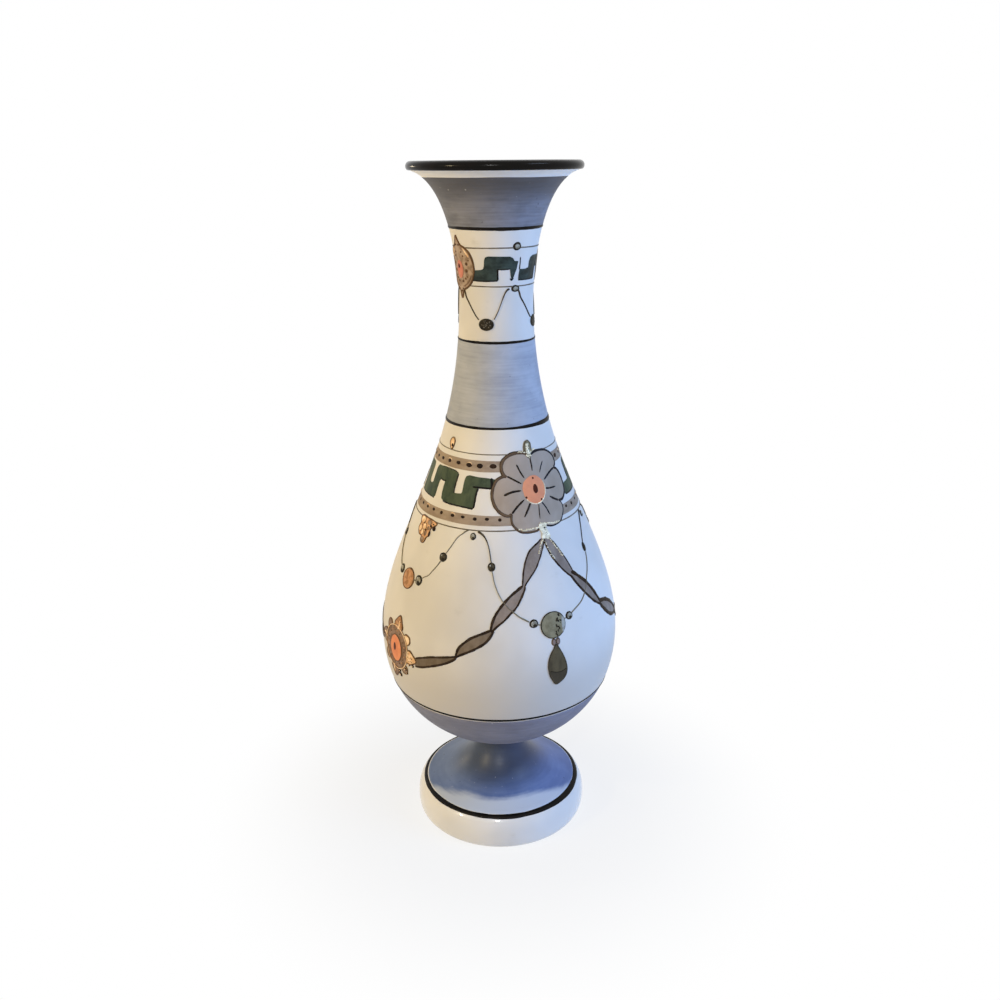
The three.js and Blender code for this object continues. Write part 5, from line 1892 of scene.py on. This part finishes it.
@dataclass
class NeckRosettes(Ornament):
    """The pointed gilt rosette on each flank of the neck."""

    angle: float = -57.5
    height: float = 259.3
    right_side: Path = (
        (-0.9, 12.6), (0.4, 10.2), (1.6, 8.8), (3.3, 8.1), (5.4, 6.4), (6.6, 4.1), (7.2, 1.0), (6.8, -2.6), (5.2, -5.9),
        (2.8, -7.9), (0.6, -9.0), (-0.9, -12.0),
    )
    middle: float = -0.9
    heart_half: Pair = (2.3, 3.6)
    heart_height: float = -0.7
    glint: Path = ((2.6, 8.0), (3.8, 6.4), (5.5, 4.2))
    hem: Path = ((5.9, -2.6), (4.4, -5.0), (2.2, -6.9), (0.2, -7.6))
    dots: tuple = (
        (3.6, 1.6, 0.75), (3.2, -1.2, 0.8), (2.0, 4.6, 0.45), (4.9, 3.0, 0.35), (2.4, -4.3, 0.5), (0.6, -5.4, 0.55),
        (3.6, -3.6, 0.35), (1.2, 6.2, 0.4), (0.0, 9.0, 0.5), (-0.6, -9.4, 0.4),
    )

    def build(self) -> None:
        """Builds the gilding and the heart of both rosettes."""
        for flank in Flank:
            self._gilding(flank)
            self._heart(flank)

    def _either(self, side: int, points: Path) -> list[Pair]:
        """Keeps flat points on the right, for side 1, or reflects them to the left, for -1."""
        return [(self.middle + side * (x - self.middle), y) for x, y in points]

    def _gilding(self, flank: Flank) -> None:
        """Builds the pointed plate with its rim, glints, hems and dots.

        Args:
            flank: Which flank.
        """
        piece = self._piece("neck_rosette_gilding", flank)
        outline = list(self.right_side) + mirrored(self.right_side, self.middle)[1:-1]
        rim = piece.on(flowing(outline, 0.5, True))
        piece.fill(rim, 0.2, Tone.BEIGE, spacing=1.3)
        piece.stroke(rim, 0.5, 0.42, Tone.RIM, loop=True, sway=0.25)
        for side in (1, -1):
            glint, hem = (piece.on(flowing(self._either(side, line))) for line in (self.glint, self.hem))
            piece.stroke(glint, 0.42, 0.46, Tone.PALE_GOLD, base=0.1, sway=0.4)
            piece.stroke(hem, 0.4, 0.36, Tone.BRONZE, base=0.1, sway=0.5)
            for x, y, size in self.dots:
                piece.dot(self._either(side, [(x, y)])[0], (size, size * 0.9), 0.44, Tone.RIM, base=0.2)
        piece.finish("gilding")

    def _heart(self, flank: Flank) -> None:
        """Builds the coral heart with its seed.

        Args:
            flank: Which flank.
        """
        piece = self._piece("neck_rosette_heart", flank)
        edge = piece.on(oval(*self.heart_half, (self.middle, self.heart_height), 40))
        piece.fill(edge, 0.36, Tone.ROSE, base=0.1, spacing=1.1, dome=0.08)
        piece.dot((self.middle - 0.3, 0.6), (0.85, 1.1), 0.56, Tone.SEED, base=0.3)
        piece.finish("coral_enamel")


@dataclass
class FlankGilding(Part):
    """The small gilt finial and the gilt sprig over each belly rosette."""

    finial_angle: float = -51.0
    finial_height: float = 186.0
    finial: Path = ((0.5, -0.8), (-0.8, 0.6), (-1.3, 2.0), (-0.9, 3.4), (0.1, 4.1), (1.2, 3.4), (1.6, 1.9), (1.2, 0.4))
    sprig_angle: float = -54.5
    sprig_height: float = 154.6
    sprig: Path = (
        (-5.4, 1.0), (-3.6, 1.8), (-1.0, 1.6), (2.0, 1.4), (4.6, 1.2), (6.4, 0.4), (5.0, -1.0), (3.4, -2.4),
        (3.6, -5.0), (2.2, -6.8), (1.6, -8.8), (0.4, -9.3), (-1.0, -8.6), (-1.2, -6.8), (-3.4, -6.4), (-5.2, -4.0),
        (-4.6, -1.8),
    )
    lobes: tuple = (
        (-3.0, 0.0, 2.0, 1.8, Tone.PALE_GOLD),
        (-0.5, -2.4, 1.3, 1.6, Tone.PALE_GOLD),
        (1.9, 0.0, 1.6, 1.2, Tone.BEIGE),
        (-3.3, -3.8, 1.2, 1.7, Tone.PALE_GOLD),
        (-1.2, -5.0, 0.9, 1.5, Tone.PALE_GOLD),
        (0.9, -5.0, 0.9, 1.4, Tone.BRONZE),
        (2.0, -2.6, 0.9, 1.0, Tone.BRONZE),
        (0.2, -7.9, 1.1, 1.2, Tone.BEIGE),
    )
    spots: tuple = (
        (3.3, -1.3, 0.6, 0.6), (5.5, -1.9, 1.0, 1.0), (3.6, -4.7, 0.6, 1.2), (0.8, -3.7, 0.35, 0.45),
        (-1.6, -1.0, 0.35, 0.45), (4.6, -0.2, 0.4, 0.3),
    )

    def build(self) -> None:
        """Builds the finials and sprigs."""
        for flank in Flank:
            piece = Relief(f"side_finial_{flank.label}", (self.finial_angle + flank.turn, self.finial_height))
            rim = piece.on(flowing(self.finial, 0.3, True))
            piece.fill(rim, 0.26, Tone.PALE_GOLD, spacing=0.9, dome=0.1)
            piece.stroke(rim, 0.3, 0.42, Tone.RIM, base=0.0, loop=True, sway=0.3)
            piece.dot((0.6, 0.9), (0.55, 0.8), 0.5, Tone.DOT, base=0.2)
            piece.finish("gilding")
            piece = Relief(f"gilt_sprig_{flank.label}", (self.sprig_angle + flank.turn, self.sprig_height))
            rim = piece.on(flowing(self.sprig, 0.4, True))
            piece.fill(rim, 0.2, Tone.GOLD, spacing=1.2)
            piece.stroke(rim, 0.32, 0.36, Tone.RIM, base=0.0, loop=True, sway=0.35)
            for x, y, wide, tall, tone in self.lobes:
                piece.bead(piece.on([(x, y)])[0], (wide, tall), 0.5, tone, Tone.BRONZE, 0.78, base=0.1)
            for x, y, wide, tall in self.spots:
                piece.dot((x, y), (wide, tall), 0.54, Tone.DOT, base=0.2)
            piece.finish("gilding")


@dataclass
class NeckSwags(Chains):
    """The thin swags round the neck, each with a dark medallion."""

    middle: float = -14.9
    threads: tuple[Thread, ...] = (
        Thread(
            (
                (-56.5, 251.2), (-53.5, 249.9), (-50.7, 247.8), (-44.3, 245.3), (-37.3, 242.5), (-31.8, 240.4),
                (-26.5, 238.8),
            ),
            0.52, 0.3,
        ),
        Thread(
            ((-3.5, 239.0), (1.2, 241.4), (5.0, 243.8), (8.9, 246.6), (13.4, 249.5), (17.2, 250.9), (20.5, 251.2)),
            0.2, 0.55,
        ),
    )
    medallion_height: float = 237.1
    medallion: Pair = (3.15, 2.45)
    flecks: int = 26

    def build(self) -> None:
        """Builds the four swags."""
        for quarter in Quarter:
            piece = Relief(f"neck_swag_{quarter.label}")
            self._lay(piece, quarter.turn)
            spot = VESSEL_SKIN.spots([(self.middle, self.medallion_height)], quarter.turn)[0]
            radius = float(VESSEL_SKIN.radius(spot[1]))
            edge = oval(*self.medallion, count=40)
            rim = np.c_[spot[0] + edge[:, 0] / radius, spot[1] + edge[:, 1]]
            piece.fill(rim, 0.34, Tone.RING, spacing=1.0, dome=0.12)
            for _ in range(self.flecks):
                reach, t = piece.dice.uniform(0, 0.72), piece.dice.uniform(0, math.tau)
                x, y = self.medallion[0] * reach * math.cos(t), self.medallion[1] * reach * math.sin(t)
                at = np.array([spot[0] + x / radius, spot[1] + y])
                piece.bead(at, (0.22, 0.22), 0.56, Tone.PIN, base=0.3)
            piece.finish("bead_enamel")


# ---------------------------------------------------------------- the room


@dataclass
class Lamp:
    """One soft or small lamp, aimed at the vase."""

    name: str
    place: tuple[float, float, float]
    power: float
    size: Pair
    colour: Colour
    mirrored: bool = True


@dataclass
class Studio(Part):
    """The pale floor, the soft light and the camera."""

    aim: tuple[float, float, float] = (0.0, 0.0, 0.15)
    world: Colour = (0.95, 0.97, 1.0)
    world_level: float = 0.15
    floor_half: float = 3.0
    shadow: Pair = (0.045, 0.15)
    eye: tuple[float, float, float] = (0.00087, -0.4122, 0.3013)
    tilt: float = 19.36
    roll: float = -0.51
    focal_pixels: float = 977.2
    frame_pixels: float = 1000.0
    lamps: tuple[Lamp, ...] = (
        Lamp("warm_left", (-0.85, -0.35, 0.42), 3.2, (0.7, 0.7), (1.0, 0.66, 0.12), False),
        Lamp("cool_right", (0.85, -0.3, 0.38), 8.2, (0.7, 0.7), (0.2, 0.45, 1.0), False),
        Lamp("window_right", (0.6, -0.28, 0.85), 1.5, (0.36, 0.09), (0.6, 0.76, 1.0)),
        Lamp("spark_front", (-0.06, -0.72, 0.6), 1.5, (0.06, 0.06), (1.0, 1.0, 1.0)),
        Lamp("spark_left", (-0.6, -0.38, 0.47), 1.6, (0.06, 0.06), (1.0, 0.82, 0.5)),
        Lamp("spark_behind", (-0.62, 0.46, 0.3), 0.6, (0.08, 0.08), (1.0, 0.84, 0.6)),
    )

    def build(self) -> None:
        """Builds the room round the vase."""
        self._floor()
        self._world()
        for lamp in self.lamps:
            self._lamp(lamp)
        self._camera()
        bpy.context.scene.view_settings.view_transform = "Standard"

    def _seen(self, paint: Paint) -> Wire:
        """Gives 1 for what the camera, a gloss or a clear piece looks at."""
        light = paint.raw("ShaderNodeLightPath", {}, {})
        rays = [Wire(paint, light.outputs[f"Is {kind} Ray"]) for kind in ("Camera", "Glossy", "Transmission")]
        return rays[0] + rays[1] + rays[2]

    def _floor(self) -> None:
        """Lays the floor, which keeps the shadow near the vase and pales to white."""
        half = self.floor_half
        mesh = bpy.data.meshes.new("floor")
        corners = [(-half, -half, 0), (half, -half, 0), (half, half, 0), (-half, half, 0)]
        mesh.from_pydata(corners, [], [(0, 1, 2, 3)])
        floor = bpy.data.objects.new("floor", mesh)
        bpy.context.scene.collection.objects.link(floor)
        paint = Paint.named("pale_floor")
        away = paint.span()
        colour = paint.blend(paint.noise(60.0) * 0.2, (0.74, 0.74, 0.74), (0.7, 0.7, 0.7))
        dull = {"Base Color": colour, "Roughness": 0.9, "Specular IOR Level": 0.1}
        plain = paint.node("ShaderNodeBsdfPrincipled", {}, dull)
        glow = paint.node("ShaderNodeEmission", {}, {"Color": (1, 1, 1, 1), "Strength": 1.0})
        share = self._seen(paint) * (away.between(*self.shadow) * 0.2 + 0.8)
        mixed = paint.node("ShaderNodeMixShader", {}, {0: share, 1: plain, 2: glow})
        paint.raw("ShaderNodeOutputMaterial", {}, {"Surface": mixed})
        mesh.materials.append(paint.owner)

    def _world(self) -> None:
        """Lights the room evenly and shows white behind the vase."""
        world = bpy.data.worlds.new("studio")
        bpy.context.scene.world = world
        paint = Paint(world)
        light = paint.node("ShaderNodeBackground", {}, {"Color": (*self.world, 1), "Strength": self.world_level})
        white = paint.node("ShaderNodeBackground", {}, {"Color": (1, 1, 1, 1), "Strength": 1.0})
        mixed = paint.node("ShaderNodeMixShader", {}, {0: self._seen(paint), 1: light, 2: white})
        paint.raw("ShaderNodeOutputWorld", {}, {"Surface": mixed})

    def _lamp(self, lamp: Lamp) -> None:
        """Hangs one lamp.

        Args:
            lamp: Its sizes.
        """
        data = bpy.data.lights.new(lamp.name, "AREA")
        data.shape = "ELLIPSE"
        data.size, data.size_y = lamp.size
        data.energy, data.color = lamp.power, lamp.colour
        made = bpy.data.objects.new(lamp.name, data)
        made.location = lamp.place
        made.rotation_euler = (Vector(self.aim) - Vector(lamp.place)).to_track_quat("-Z", "Y").to_euler()
        made.visible_camera = False
        made.visible_glossy = lamp.mirrored
        bpy.context.scene.collection.objects.link(made)

    def _camera(self) -> None:
        """Sets the camera at the photograph's place."""
        data = bpy.data.cameras.new("camera")
        data.sensor_width = 36.0
        data.lens = self.focal_pixels / self.frame_pixels * data.sensor_width
        data.clip_start, data.clip_end = 0.01, 20.0
        made = bpy.data.objects.new("camera", data)
        turn = Matrix.Rotation(math.radians(90 - self.tilt), 4, "X")
        turn = turn @ Matrix.Rotation(math.radians(self.roll), 4, "Z")
        made.matrix_world = Matrix.Translation(Vector(self.eye)) @ turn
        bpy.context.scene.collection.objects.link(made)
        bpy.context.scene.camera = made


def main() -> None:
    """Builds the room and every part of the vase, in order."""
    logging.basicConfig(level=logging.INFO, format="%(message)s")
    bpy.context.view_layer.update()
    parts: tuple[Part, ...] = (
        Studio(),
        Glass(),
        Lip(),
        Coats(),
        Lines(),
        BeadBands(),
        ShoulderKeys(),
        NeckKeys(),
        Flower(),
        Garlands(),
        DeepChains(),
        ShallowChains(),
        Pendants(),
        BellyRosettes(),
        NeckRosettes(),
        FlankGilding(),
        NeckSwags(),
    )
    for part in parts:
        part.build()
        LOG.info("built %s", type(part).__name__)


if __name__ == "__main__":
    main()
